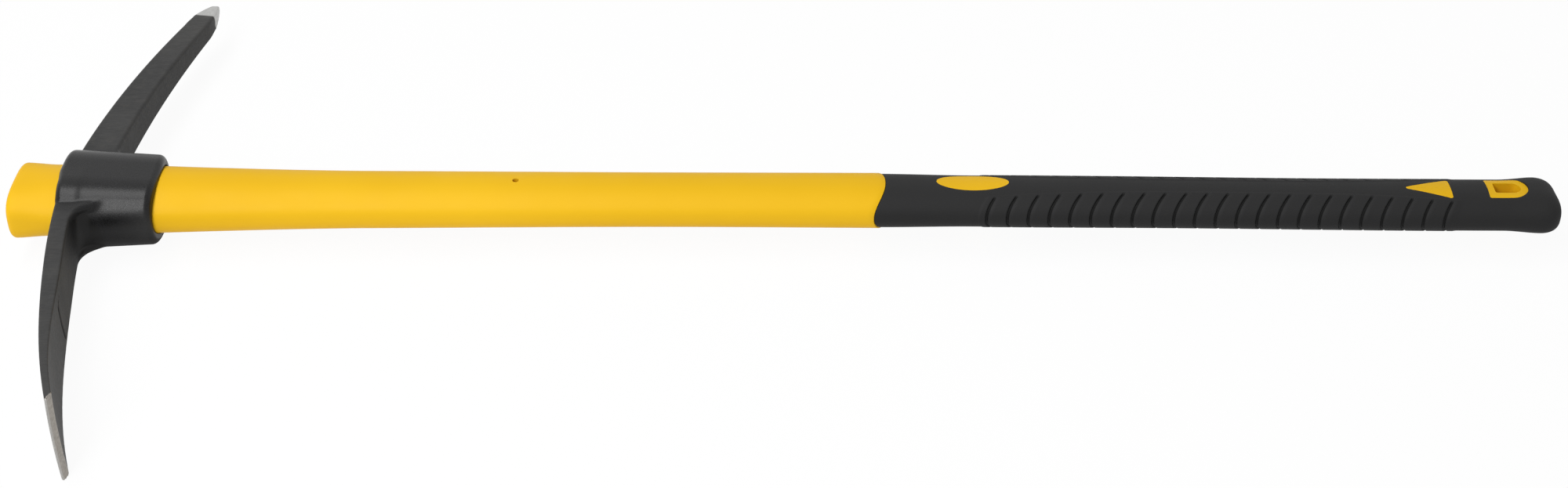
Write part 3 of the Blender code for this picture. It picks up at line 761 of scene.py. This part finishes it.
def pick_field(depth, y, z, side):
    """The pick, with its hollow root and ground point."""
    share = np.clip((y - PICK_ROOT_REACH) / (PICK_SHOULDER_REACH - PICK_ROOT_REACH), 0.0, 1.0)
    half_depth = between(PICK_ROOT_DEPTH, PICK_SHOULDER_DEPTH, share) / 2
    half_height = between(PICK_ROOT_HEIGHT, PICK_SHOULDER_HEIGHT, share ** PICK_TAPER_POWER) / 2
    run = np.clip(y, PICK_ROOT_REACH / 2, PICK_SHOULDER_REACH) - PICK_ROOT_REACH
    middle = PICK_INNER_OFFSET + PICK_ROOT_SLOPE * run + run * np.abs(run) / (2 * PICK_CURVE_RADIUS)
    nose = np.clip((y - PICK_SHOULDER_REACH) / PICK_POINT_LENGTH, 0.0, PICK_POINT_LIMIT)
    middle = middle - half_depth + PICK_POINT_SLOPE * PICK_POINT_LENGTH * nose
    taper = 1 - (1 - PICK_TIP_SHARE) * nose ** PICK_POINT_POWER
    half_depth = half_depth * taper
    half_height = half_height * taper
    slope = PICK_ROOT_SLOPE + np.maximum(run, 0.0) / PICK_CURVE_RADIUS
    steepness = np.hypot(1.0, slope + PICK_POINT_STEEPNESS * nose)
    softness = between(PICK_EDGE_SOFTNESS, PICK_POINT_SOFTNESS, rise(nose, *PICK_SOFTNESS_SPAN))

    fillet = np.maximum(side + sunk_root(depth), depth - BLEND_END)
    inner = blend_union((depth - middle - half_depth) / steepness, fillet, PICK_INNER_BLEND)
    body = blend_cut(inner, (middle - half_depth - depth) / steepness, softness)
    body = blend_cut(body, np.abs(z) - half_height, softness)
    body = np.maximum(body, back_rim(y) - depth + PICK_BACK_GAP)
    return blend_cut(body, y - PICK_REACH, PICK_TIP_SOFTNESS)


def head_field(points):
    """The whole head."""
    depth, y, z = points[..., 0], points[..., 1], points[..., 2]
    side = collar_side(depth, y, z)
    ends = np.maximum(back_rim(y) - depth, depth - front_rim(y))
    steel = rounded_corner(side, ends, COLLAR_RIM_RADIUS)
    steel = blend_union(steel, blade_field(depth, y, z, side) + FAR_AWAY * (y > 0), ARM_SEAM)
    steel = blend_union(steel, pick_field(depth, y, z, side) + FAR_AWAY * (y < 0), ARM_SEAM)
    return blend_cut(steel, -eye_field(depth, y, z), EYE_RIM_SOFTNESS)


def slope_of(field, points, step=1e-5):
    """The field's gradient."""
    rises = [field(points + shift) - field(points - shift) for shift in np.eye(3) * step]
    return np.stack(rises, axis=1) / (2 * step)


def settle(field, points, cell):
    """Points moved onto the field's zero surface."""
    for _ in range(SETTLE_ROUNDS):
        gradient = slope_of(field, points)
        steepness = np.maximum(np.sum(gradient * gradient, axis=1), SETTLE_LEAST_SLOPE)
        step = gradient * (field(points) / steepness)[:, None]
        length = np.maximum(np.linalg.norm(step, axis=1), TINY)
        step *= np.minimum(1.0, SETTLE_STEP * cell / length)[:, None]
        points = points - step
    return points


def surface_net(field, low, high, cell):
    """Quads over the field's zero surface, one vertex in each grid cell that it crosses."""
    counts = [int(math.ceil((high[axis] - low[axis]) / cell)) + 1 for axis in range(3)]
    lines = [low[axis] + cell * np.arange(counts[axis]) for axis in range(3)]
    inside = np.empty(counts, dtype=bool)
    for start in range(0, counts[1], NET_SLAB):
        slab = slice(start, start + NET_SLAB)
        block = np.meshgrid(lines[0], lines[1][slab], lines[2], indexing="ij")
        inside[:, slab, :] = field(np.stack(block, axis=-1)) < 0
    corners = np.zeros([count - 1 for count in counts], dtype=np.int8)
    for i, j, k in np.ndindex(2, 2, 2):
        corners += inside[i:counts[0] - 1 + i, j:counts[1] - 1 + j, k:counts[2] - 1 + k]
    active = (corners > 0) & (corners < 8)
    number = np.full(active.shape, -1, dtype=np.int64)
    number[active] = np.arange(active.sum())
    points = np.array(low) + (np.argwhere(active) + 0.5) * cell

    quads = []
    for axis in range(3):
        turned = np.moveaxis(inside, axis, 0)
        numbers = np.moveaxis(number, axis, 0)
        lower = turned[:-1, 1:-1, 1:-1]
        upper = turned[1:, 1:-1, 1:-1]
        a, b, c = np.argwhere(lower != upper).T
        quad = np.stack([numbers[a, b, c], numbers[a, b + 1, c],
                         numbers[a, b + 1, c + 1], numbers[a, b, c + 1]], axis=1)
        # Moving the y axis to the front mirrors the grid, so its quads turn the other way
        outwards = lower[a, b, c] == (axis != 1)
        quad[~outwards] = quad[~outwards][:, ::-1]
        quads.append(quad)
    return settle(field, points, cell), np.concatenate(quads)


def head_masks(points, normals):
    """Where the steel is ground, bright, pale or satin, and where shade is painted on it, warm on faces
    turned down the handle and dark in the pocket and the die mark, by the name of each mask.
    """
    depth, y, z = points.T
    out = np.abs(y)
    bevel = rise(bevel_field(depth, -y, z), *BARE_BEVEL_SPAN) * (y < 0)
    ripple = BRIGHT_RIPPLE * np.sin(z * BRIGHT_RIPPLE_RATE)
    bright_start = BRIGHT_START + BRIGHT_TILT * (BRIGHT_DEPTH - depth) + ripple
    # Painted warm shade on the faces that turn down the handle
    painted_warm_shade_share = rise(normals[:, 0], *WARM_SHADE_NORMAL_SPAN) * rise(out, *WARM_SHADE_REACH_SPAN)
    painted_warm_shade_share *= np.where(y > 0, WARM_SHADE_PICK_SHARE, 1 - WARM_SHADE_BLADE_LOSS * rise(-y, *WARM_SHADE_LOSS_SPAN))
    # Painted shade: near black in the pocket between the blade and the collar, and down the die mark
    front = DARK_FRONT_DEPTH - DARK_FRONT_BOW * np.maximum(z - DARK_FRONT_CENTRE, 0.0) ** 2
    painted_recess_shade = fall(depth, front, DARK_FRONT_RUN) * rise(depth, *DARK_BACK_SPAN) * (y < DARK_ROOT_Y)
    painted_recess_shade *= fall(z, *DARK_TOP_FALL) * rise(y, *DARK_OUTER_SPAN)
    painted_mark_shade = forging_mark(-y, z) / MARK_DEPTH * (depth > blade_outer(-y) + DARK_MARK_DEPTH)
    satin_reach = out + SATIN_NARROWING * np.maximum(depth - SATIN_NARROWING_DEPTH, 0.0)
    return {
        "bare": np.maximum(bevel, rise(-y, *BARE_EDGE_SPAN)),
        "edge": rise(-y, *KEEN_EDGE_SPAN),
        "bright": rise(y, bright_start, BRIGHT_RUN),
        "painted_warm_shade": painted_warm_shade_share,
        "pale": np.where(y > 0, PALE_PICK_SHARE, PALE_BLADE_SHARE) * rise(out, *PALE_REACH_SPAN),
        "under": fall(normals[:, 2], *UNDER_NORMAL_FALL),
        "painted_recess_shade": np.maximum(painted_recess_shade, rise(painted_mark_shade, *DARK_MARK_SPAN)),
        "smooth": 1 - rise(satin_reach, *SATIN_REACH_SPAN),
    }


def build_head():
    """The forged head as one smooth surface."""
    half_height = BLADE_EDGE_WIDTH / 2 + HEAD_MARGIN
    low = (-HEAD_MARGIN, -BLADE_REACH - HEAD_MARGIN, -half_height)
    high = (COLLAR_LENGTH + HEAD_MARGIN, PICK_REACH + HEAD_MARGIN, half_height)
    points, quads = surface_net(head_field, low, high, HEAD_CELL)
    normals = slope_of(head_field, points)
    normals /= np.maximum(np.linalg.norm(normals, axis=1), TINY)[:, None]

    mesh = bpy.data.meshes.new("head_forging")
    placed = points + np.array([AXIS_START_X + HEAD_STATION, AXIS_Y, AXIS_Z])
    mesh.from_pydata(placed.tolist(), [], quads.tolist())
    mesh.shade_smooth()
    mesh.normals_split_custom_set_from_vertices(normals.tolist())
    for name, values in head_masks(points, normals).items():
        add_mask(mesh, name, values)
    return add_object("head_forging", mesh)


# Handle

def handle_places(mesh):
    """Station, y and z of a handle piece's vertices, about the handle's bowed middle line."""
    points = np.empty(len(mesh.vertices) * 3)
    mesh.vertices.foreach_get("co", points)
    x, y, z = points.reshape(-1, 3).T
    station = x - AXIS_START_X
    return station, y - AXIS_Y - bow(station), z - AXIS_Z + droop(station)


def boss_mesh():
    """The bosses that fill the grip's windows, the one round the hanging hole with a sunk face."""
    oval, arrow, eyelet = window_outlines()
    face = grip_size(EYELET_START + EYELET_LENGTH / 2)[1] - EYELET_FACE_DEPTH
    middle = -droop(EYELET_START)
    parts = [prism(oval), prism(arrow), prism(eyelet, middle - face, middle + face)]
    bosses = add_object("bosses", join(parts))
    boss_start = OVAL_STATION - OVAL_LENGTH / 2 - BOSS_MARGIN
    stations = spaced(boss_start, BUTT_DOME_START, BOSS_RINGS)
    cut(bosses, loft(rings_along(stations, grip_size, BOSS_SINK)), "INTERSECT")
    mesh = bosses.data
    bpy.data.objects.remove(bosses)
    return mesh


def build_jacket():
    """The yellow jacket, with its bosses, hanging hole and pin holes."""
    rings = []
    for angle in spaced(0, math.pi / 2, TOP_EDGE_RINGS):
        station = TOP_EDGE_RADIUS * (1 - math.cos(angle))
        inset = TOP_EDGE_RADIUS * (1 - math.sin(angle))
        rings.append(oval_ring(station, jacket_size(station), inset))
    flare = spaced(TOP_EDGE_RADIUS, FLARE_LENGTH, FLARE_RINGS)[1:]
    waist = spaced(FLARE_LENGTH, GRIP_START - JACKET_WAVE_RUN, WAIST_RINGS)[1:]
    rings += rings_along([*flare, *waist], jacket_size)
    for share in spaced(0, 1, JACKET_WAVE_RINGS)[1:-1]:
        station = GRIP_START - JACKET_WAVE_RUN * (1 - share)
        rings.append(oval_ring(station + wave(share), jacket_size(station)))
    for back, below in LIP_PROFILE:
        station = GRIP_START - GRIP_LIP_RADIUS * back + wave()
        rings.append(oval_ring(station, jacket_size(GRIP_START), GRIP_LIP_RADIUS * below))
    jacket = add_object("jacket_moulding", loft(rings + covered_rings()))
    cut(jacket, boss_mesh(), "UNION")

    hole_start = EYELET_START + (EYELET_LENGTH - HANGING_HOLE_LENGTH) / 2
    hole = eyelet_outline(hole_start, HANGING_HOLE_LENGTH, HANGING_HOLE_WIDTH)
    bore = rod_rings((-TOP_EDGE_RADIUS, ROD_END_STATION + ROD_GAP), ROD_GAP)
    pin = ellipse(PIN_HOLE_STATION, 0.0, PIN_HOLE_DIAMETER, PIN_HOLE_DIAMETER, PIN_HOLE_SIDES)
    cut(jacket, join([prism(hole), loft(bore), prism(pin, high=-PIN_HOLE_BOTTOM),
                      prism(pin, low=PIN_HOLE_BOTTOM)]))
    shade(jacket)
    # Painted shade down the pin holes: a mask that darkens the yellow below the jacket's surface
    station, y, z = handle_places(jacket.data)
    near_pin = np.hypot(station - PIN_HOLE_STATION, y) < PIN_HOLE_SHADE_REACH
    sunk = jacket_size(station)[1] - np.abs(z)
    add_mask(jacket.data, "painted_pin_hole_shade", rise(sunk, *PIN_HOLE_SHADE_SPAN) * near_pin)
    return jacket


def grip_relief(row, turn):
    """How far the grip's surface stands out along one of its rows: its pad less its grooves."""
    pad_along = rise(row, GROOVE_FIRST - PAD_MARGIN, PAD_END_RUN)
    pad_along *= fall(row, GROOVE_LAST + PAD_MARGIN, PAD_END_RUN)
    share = np.clip((row - GROOVE_FIRST) / (GROOVE_LAST - GROOVE_FIRST), 0, 1)
    pad_sweep = between(PAD_SWEEP, PAD_END_SWEEP, abs(2 * share - 1) ** SWEEP_POWER)
    pad = PAD_RISE * pad_along * fall(turn, pad_sweep, PAD_EDGE_TURN)
    index = int(round(min(max((row - GROOVE_FIRST) / GROOVE_PITCH, 0), GROOVE_COUNT - 1)))
    from_centre = abs(2 * index / (GROOVE_COUNT - 1) - 1)
    sweep = between(GROOVE_SWEEP, GROOVE_END_SWEEP, from_centre ** SWEEP_POWER)
    across = abs(row - GROOVE_FIRST - GROOVE_PITCH * index) / (GROOVE_WIDTH / 2)
    groove = GROOVE_DEPTH * fall(across, *GROOVE_PROFILE_FALL) * fall(turn, sweep, GROOVE_TIP_TURN)
    return pad - groove


def ribbed_rings():
    """Rings of the grip behind its wavy front, which lean down its sides and dip into the grooves."""
    angles = turns()
    turn = np.abs((angles + math.pi / 2) % math.pi - math.pi / 2)
    lean = GROOVE_LEAN * np.minimum(turn / GROOVE_SWEEP, LEAN_LIMIT) ** 2
    grooved = []
    for middle in GROOVE_FIRST + GROOVE_PITCH * np.arange(GROOVE_COUNT):
        grooved += [middle + share * GROOVE_WIDTH / 2 for share in GROOVE_ROWS]
        grooved += [middle + share * GROOVE_PITCH for share in RIB_ROWS]
    lead = spaced(ROWS_START, grooved[0] - ROW_GAP, LEAD_ROWS)
    tail = spaced(grooved[-1] + ROW_GAP, ROWS_END, TAIL_ROWS)
    rings = []
    for row in [*lead, *grooved, *tail]:
        station = row + lean * rise(row, *LEAN_SPAN) * fall(row, *LEAN_FALL)
        ring = oval_ring(station, grip_size(station))
        relief = grip_relief(row, turn)
        ring[:, 1] += relief * np.cos(angles)
        ring[:, 2] += relief * np.sin(angles)
        rings.append(ring)
    return rings


def build_grip():
    """The soft grip: one sleeve with its grooves moulded in, then its windows cut."""
    first = GRIP_START + JACKET_GAP
    outer = []
    for angle in spaced(0, math.pi / 2, GRIP_LIP_RINGS):
        station = first + GRIP_LIP_RADIUS * (1 - math.cos(angle)) + wave()
        inset = GRIP_LIP_RADIUS * (1 - math.sin(angle))
        outer.append(oval_ring(station, grip_size(GRIP_START), inset))
    for share in spaced(0, 1, GRIP_WAVE_RINGS)[1:]:
        station = first + GRIP_WAVE_RUN * share
        outer.append(oval_ring(station + wave(1 - share), grip_size(station)))
    outer += ribbed_rings()
    outer += rings_along(spaced(PLAIN_START, BUTT_DOME_START, PLAIN_RINGS), grip_size)

    dome = []
    for angle in spaced(0, math.pi / 2, BUTT_DOME_RINGS)[1:]:
        share = between(BUTT_DOME_FLAT, 1, abs(math.cos(angle)) ** BUTT_DOME_POWER)
        dome.append((BUTT_DOME_LENGTH * math.sin(angle), share))
    dome += [(BUTT_DOME_LENGTH, BUTT_DOME_FLAT * share) for share in BUTT_CAP_SHARES]
    butt_size = grip_size(BUTT_DOME_START)
    for along, share in dome:
        outer.append(oval_ring(BUTT_DOME_START + along, [half * share for half in butt_size]))
    for ring in outer:
        slant = BUTT_SLANT * rise((ring[:, 1] - AXIS_Y) / butt_size[0], *BUTT_SLANT_SPAN)
        ring[:, 0] -= (slant + BUTT_SHORT) * rise(ring[:, 0] - AXIS_START_X, *BUTT_SHORT_SPAN)

    inner = covered_rings(JACKET_GAP)
    grip = add_object("grip_moulding", loft(inner[::-1] + outer))
    cut(grip, join([prism(outline) for outline in window_outlines(WINDOW_GAP)]))
    shade(grip, GRIP_SHARP_ANGLE)
    # Painted shade in the grooves: a mask that darkens the grip below its surface
    station, y, z = handle_places(grip.data)
    sunk = -oval_distance(y, z, *grip_size(station))
    grooved = (station > GROOVE_SHADE_START) & (station < GROOVE_SHADE_END)
    groove = rise(sunk, *GROOVE_SHADE_SPAN) * (sunk < GROOVE_SHADE_DEEPEST) * grooved
    add_mask(grip.data, "groove", groove)
    return grip


def build_rod():
    """The fibreglass rod."""
    rod = add_object("rod_pultrusion", loft(rod_rings((ROD_RECESS, ROD_END_STATION))))
    shade(rod)
    return rod


# Materials

class Nodes:
    """The nodes of a material or a world."""

    def __init__(self, owner):
        owner.use_nodes = True
        self.owner = owner
        self.tree = owner.node_tree

    def feed(self, node, sockets):
        """Give a node's sockets, by name or number, their values or links."""
        for key, value in sockets.items():
            socket = node.inputs[key]
            if isinstance(value, bpy.types.NodeSocket):
                self.tree.links.new(value, socket)
            elif socket.type == "RGBA":
                socket.default_value = (*value, 1.0)
            else:
                socket.default_value = value

    def add(self, kind, sockets=None, **settings):
        """Add a node and give back its outputs."""
        node = self.tree.nodes.new(kind)
        for key, value in settings.items():
            setattr(node, key, value)
        self.feed(node, sockets or {})
        return node.outputs

    def math(self, operation, first, second):
        """Two numbers, combined."""
        return self.add("ShaderNodeMath", {0: first, 1: second}, operation=operation)[0]

    def noise(self, scale, detail=3.0, roughness=0.5, stretch=None):
        """Noise through the piece."""
        place = self.add("ShaderNodeTexCoord")["Object"]
        if stretch is not None:
            place = self.add("ShaderNodeMapping", {"Vector": place, "Scale": stretch})["Vector"]
        sockets = {"Vector": place, "Scale": scale, "Detail": detail, "Roughness": roughness}
        return self.add("ShaderNodeTexNoise", sockets)["Fac"]

    def grade(self, value, low=0.3, high=0.7, start=0.0, end=1.0):
        """A value from start to end while another goes from low to high."""
        sockets = {"Value": value, "From Min": low, "From Max": high, "To Min": start, "To Max": end}
        return self.add("ShaderNodeMapRange", sockets)["Result"]

    def mix(self, share, first, second):
        """Two colours, blended. The node's colour sockets are 6 and 7, its colour output 2."""
        return self.add("ShaderNodeMix", {0: share, 6: first, 7: second}, data_type="RGBA")[2]

    def blend(self, share, first, second):
        """Two numbers, blended. The node's number sockets are 2 and 3, its number output 0."""
        return self.add("ShaderNodeMix", {0: share, 2: first, 3: second}, data_type="FLOAT")[0]

    def mask(self, name):
        """One of the mesh's masks."""
        return self.add("ShaderNodeAttribute", attribute_name=name)["Fac"]

    def bump(self, height, distance, strength, under=None):
        """A bumped normal, on top of another one."""
        sockets = {"Height": height, "Distance": distance, "Strength": strength}
        if under is not None:
            sockets["Normal"] = under
        return self.add("ShaderNodeBump", sockets)["Normal"]

    def surface(self, sockets):
        """Feed the Principled shader and give back the material."""
        self.feed(self.tree.nodes["Principled BSDF"], sockets)
        return self.owner


def steel_material():
    """Blackened forging, satin round the collar, ground bare at the blade's edge and the pick's point."""
    made = Nodes(bpy.data.materials.new("forged_steel_look"))
    cloud = made.noise(45, 4)
    patch = made.noise(170, 3, 0.6)
    speck = made.noise(800, 2, 0.6)
    grit = made.noise(1900, 2, 0.6)
    streak = made.noise(420, 3, 0.6, stretch=(0.35, 1.4, 1.4))
    brushed = made.grade(made.noise(700, 2, 0.5, stretch=(3.0, 0.4, 1.0)))
    satin = made.mask("smooth")

    arms = made.mix(made.grade(cloud, 0.35, 0.68), (0.021, 0.021, 0.021), (0.031, 0.031, 0.0305))
    arms = made.mix(made.grade(patch, 0.5, 0.75, 0.0, 0.6), arms, (0.042, 0.040, 0.037))
    # Painted warm shade: a darker brown on the arms' faces that turn down the handle
    painted_warm_shade_colour = made.mix(made.grade(cloud), (0.013, 0.0122, 0.0108), (0.025, 0.0235, 0.0205))
    arms = made.mix(made.mask("painted_warm_shade"), arms, painted_warm_shade_colour)
    arms = made.mix(made.mask("pale"), arms, (0.045, 0.044, 0.042))
    collar = made.mix(made.grade(grit, 0.42, 0.68), (0.0022, 0.0022, 0.0024), (0.010, 0.010, 0.0105))
    colour = made.mix(satin, arms, collar)
    # Painted shade: near black in the pocket and down the die mark
    colour = made.mix(made.mask("painted_recess_shade"), colour, (0.0025, 0.0024, 0.0022))
    bare = made.mix(brushed, (0.26, 0.24, 0.215), (0.36, 0.335, 0.30))
    bright = made.mix(brushed, (0.39, 0.39, 0.38), (0.49, 0.49, 0.475))
    colour = made.mix(made.mask("bare"), colour, bare)
    colour = made.mix(made.mask("edge"), colour, (0.46, 0.45, 0.43))
    colour = made.mix(made.mask("bright"), colour, bright)

    ground = made.math("MAXIMUM", made.mask("bare"), made.mask("bright"))
    arm_roughness = made.grade(streak, start=0.52, end=0.66)
    rough = made.blend(satin, arm_roughness, made.grade(grit, start=0.25, end=0.37))
    rough = made.blend(made.mask("painted_warm_shade"), rough, 0.72)
    rough = made.blend(made.mask("under"), rough, 0.75)
    coarse = made.bump(made.blend(satin, made.noise(160), 0.5), 0.0006, 0.28)
    fine = made.bump(made.blend(satin, streak, 0.5), 0.00022, 0.6, under=coarse)
    return made.surface({
        "Base Color": colour,
        "Metallic": made.grade(ground, 0.0, 1.0, 0.0, 0.85),
        "Roughness": made.blend(ground, rough, 0.42),
        "Specular IOR Level": 0.24,
        "Normal": made.bump(made.blend(satin, speck, grit), 0.00010, 0.5, under=fine),
    })


def jacket_material():
    """Yellow moulded plastic with a faint mould grain and painted shade down its pin holes."""
    made = Nodes(bpy.data.materials.new("jacket_yellow_look"))
    colour = made.mix(made.grade(made.noise(14, 2)), (0.775, 0.445, 0.0085), (0.805, 0.470, 0.0105))
    soft = made.bump(made.noise(90, 2), 0.0003, 0.12)
    return made.surface({
        # Painted shade: a dark orange down the pin holes
        "Base Color": made.mix(made.mask("painted_pin_hole_shade"), colour, (0.52, 0.20, 0.004)),
        "Roughness": made.grade(made.noise(60), start=0.44, end=0.52),
        "Specular IOR Level": 0.12,
        "Normal": made.bump(made.noise(2400, 1), 0.00003, 0.35, under=soft),
    })


def grip_material():
    """Charcoal soft grip, matt, with a fine moulded grain and painted shade in its grooves."""
    made = Nodes(bpy.data.materials.new("grip_rubber_look"))
    cloud = made.noise(45, 4, 0.6)
    grain = made.noise(2600, 2, 0.6)
    colour = made.mix(made.grade(cloud), (0.0120, 0.0120, 0.0122), (0.0165, 0.0165, 0.0168))
    colour = made.mix(made.grade(grain, 0.5, 0.8, 0.0, 0.4), colour, (0.022, 0.022, 0.0225))
    return made.surface({
        # Painted shade: near black down the grooves
        "Base Color": made.mix(made.mask("groove"), colour, (0.0035, 0.0035, 0.0035)),
        "Roughness": made.grade(cloud, start=0.64, end=0.74),
        "Specular IOR Level": 0.2,
        "Normal": made.bump(grain, 0.00008, 0.6),
    })


def rod_material():
    """Sawn glass-fibre rod."""
    made = Nodes(bpy.data.materials.new("fibreglass_look"))
    fibre = made.noise(1500, 2, 0.6, stretch=(0.05, 1.0, 1.0))
    return made.surface({
        "Base Color": made.mix(made.grade(fibre), (0.52, 0.47, 0.33), (0.68, 0.64, 0.50)),
        "Roughness": made.grade(fibre, start=0.45, end=0.65),
        "Normal": made.bump(fibre, 0.0001, 0.5),
    })


def dress(piece, material, body, node):
    """Give a piece its material and its body, and hide the CAD node that it stands for."""
    piece.data.materials.clear()
    piece.data.materials.append(material)
    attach(piece, body)
    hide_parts(node)


# Studio

FLOOR_SIZE = 30.0
FLOOR_COLOUR = (0.92, 0.92, 0.92)
FLOOR_GLOW = 0.945
WORLD_LEVEL = 0.30
WHITE = (1.0, 1.0, 1.0)
CAMERA_PITCH = math.radians(35)
CAMERA_ROLL = math.radians(0.19)
CAMERA_POSITION = (-0.00203, -1.16600, 0.81055)
CAMERA_LENS = 54.972
CAMERA_CLIP = (0.05, 50)
SENSOR_WIDTH = 36.0

# Name, position, target, width and height, and power in watts
LAMPS = (
    ("key", (-0.78, -1.17, 1.58), (-0.1, 0, 0), (0.6, 0.7), 13),
    ("low", (-0.72, -1.50, 0.98), (-0.2, 0, 0), (0.5, 0.5), 9),
    ("top", (-0.84, -0.05, 2.2), (-0.1, 0, 0), (1.6, 0.7), 23),
)


def build_camera():
    """The camera, looking down at the handle's middle."""
    data = bpy.data.cameras.new("camera")
    data.lens = CAMERA_LENS
    data.sensor_width = SENSOR_WIDTH
    data.sensor_fit = "HORIZONTAL"
    data.clip_start, data.clip_end = CAMERA_CLIP
    camera = add_object("camera", data)
    pitched = Matrix.Rotation(math.pi / 2 - CAMERA_PITCH, 4, "X")
    rolled = Matrix.Rotation(CAMERA_ROLL, 4, "Z")
    camera.matrix_world = Matrix.Translation(CAMERA_POSITION) @ pitched @ rolled
    bpy.context.scene.camera = camera


def add_lamp(name, position, target, size, power):
    """A soft rectangular lamp."""
    data = bpy.data.lights.new(name, "AREA")
    data.shape = "RECTANGLE"
    data.size, data.size_y = size
    data.energy = power
    lamp = add_object(name, data)
    lamp.location = position
    lamp.rotation_mode = "QUATERNION"
    lamp.rotation_quaternion = (Vector(target) - Vector(position)).to_track_quat("-Z", "Y")


def show_background(nodes, level, plain, seen, output):
    """Blend in, up to a level, a shader that only camera, glossy and transmission rays meet."""
    path = nodes.add("ShaderNodeLightPath")
    rays = nodes.math("MAXIMUM", path["Is Camera Ray"], path["Is Glossy Ray"])
    rays = nodes.math("MAXIMUM", rays, path["Is Transmission Ray"])
    share = nodes.math("MULTIPLY", rays, level)
    mixed = nodes.add("ShaderNodeMixShader", {0: share, 1: plain, 2: seen})[0]
    nodes.feed(nodes.tree.nodes[output], {"Surface": mixed})


def build_studio():
    """Pale floor, soft lamps and an even surround."""
    half = FLOOR_SIZE / 2
    mesh = bpy.data.meshes.new("floor")
    corners = [(-half, -half, 0), (half, -half, 0), (half, half, 0), (-half, half, 0)]
    mesh.from_pydata(corners, [], [(0, 1, 2, 3)])
    floor = add_object("floor", mesh)
    nodes = Nodes(bpy.data.materials.new("floor"))
    mesh.materials.append(
        nodes.surface({"Base Color": FLOOR_COLOUR, "Roughness": 0.9, "Specular IOR Level": 0.0}))
    plain = nodes.tree.nodes["Principled BSDF"].outputs[0]
    glow = nodes.add("ShaderNodeEmission", {"Color": WHITE})[0]
    show_background(nodes, FLOOR_GLOW, plain, glow, "Material Output")

    world = bpy.data.worlds.new("surround")
    bpy.context.scene.world = world
    nodes = Nodes(world)
    surround = nodes.tree.nodes["Background"]
    nodes.feed(surround, {"Color": WHITE, "Strength": WORLD_LEVEL})
    backdrop = nodes.add("ShaderNodeBackground", {"Color": WHITE, "Strength": 1.0})[0]
    show_background(nodes, 1.0, surround.outputs[0], backdrop, "World Output")

    for lamp in LAMPS:
        add_lamp(*lamp)
    bpy.context.scene.view_settings.view_transform = "Standard"


# Assembly

build_camera()
build_studio()
dress(build_head(), steel_material(), "head", "head")
dress(build_jacket(), jacket_material(), "handle", "handle_jacket")
dress(build_grip(), grip_material(), "handle", "grip")
dress(build_rod(), rod_material(), "handle", "core_rod")
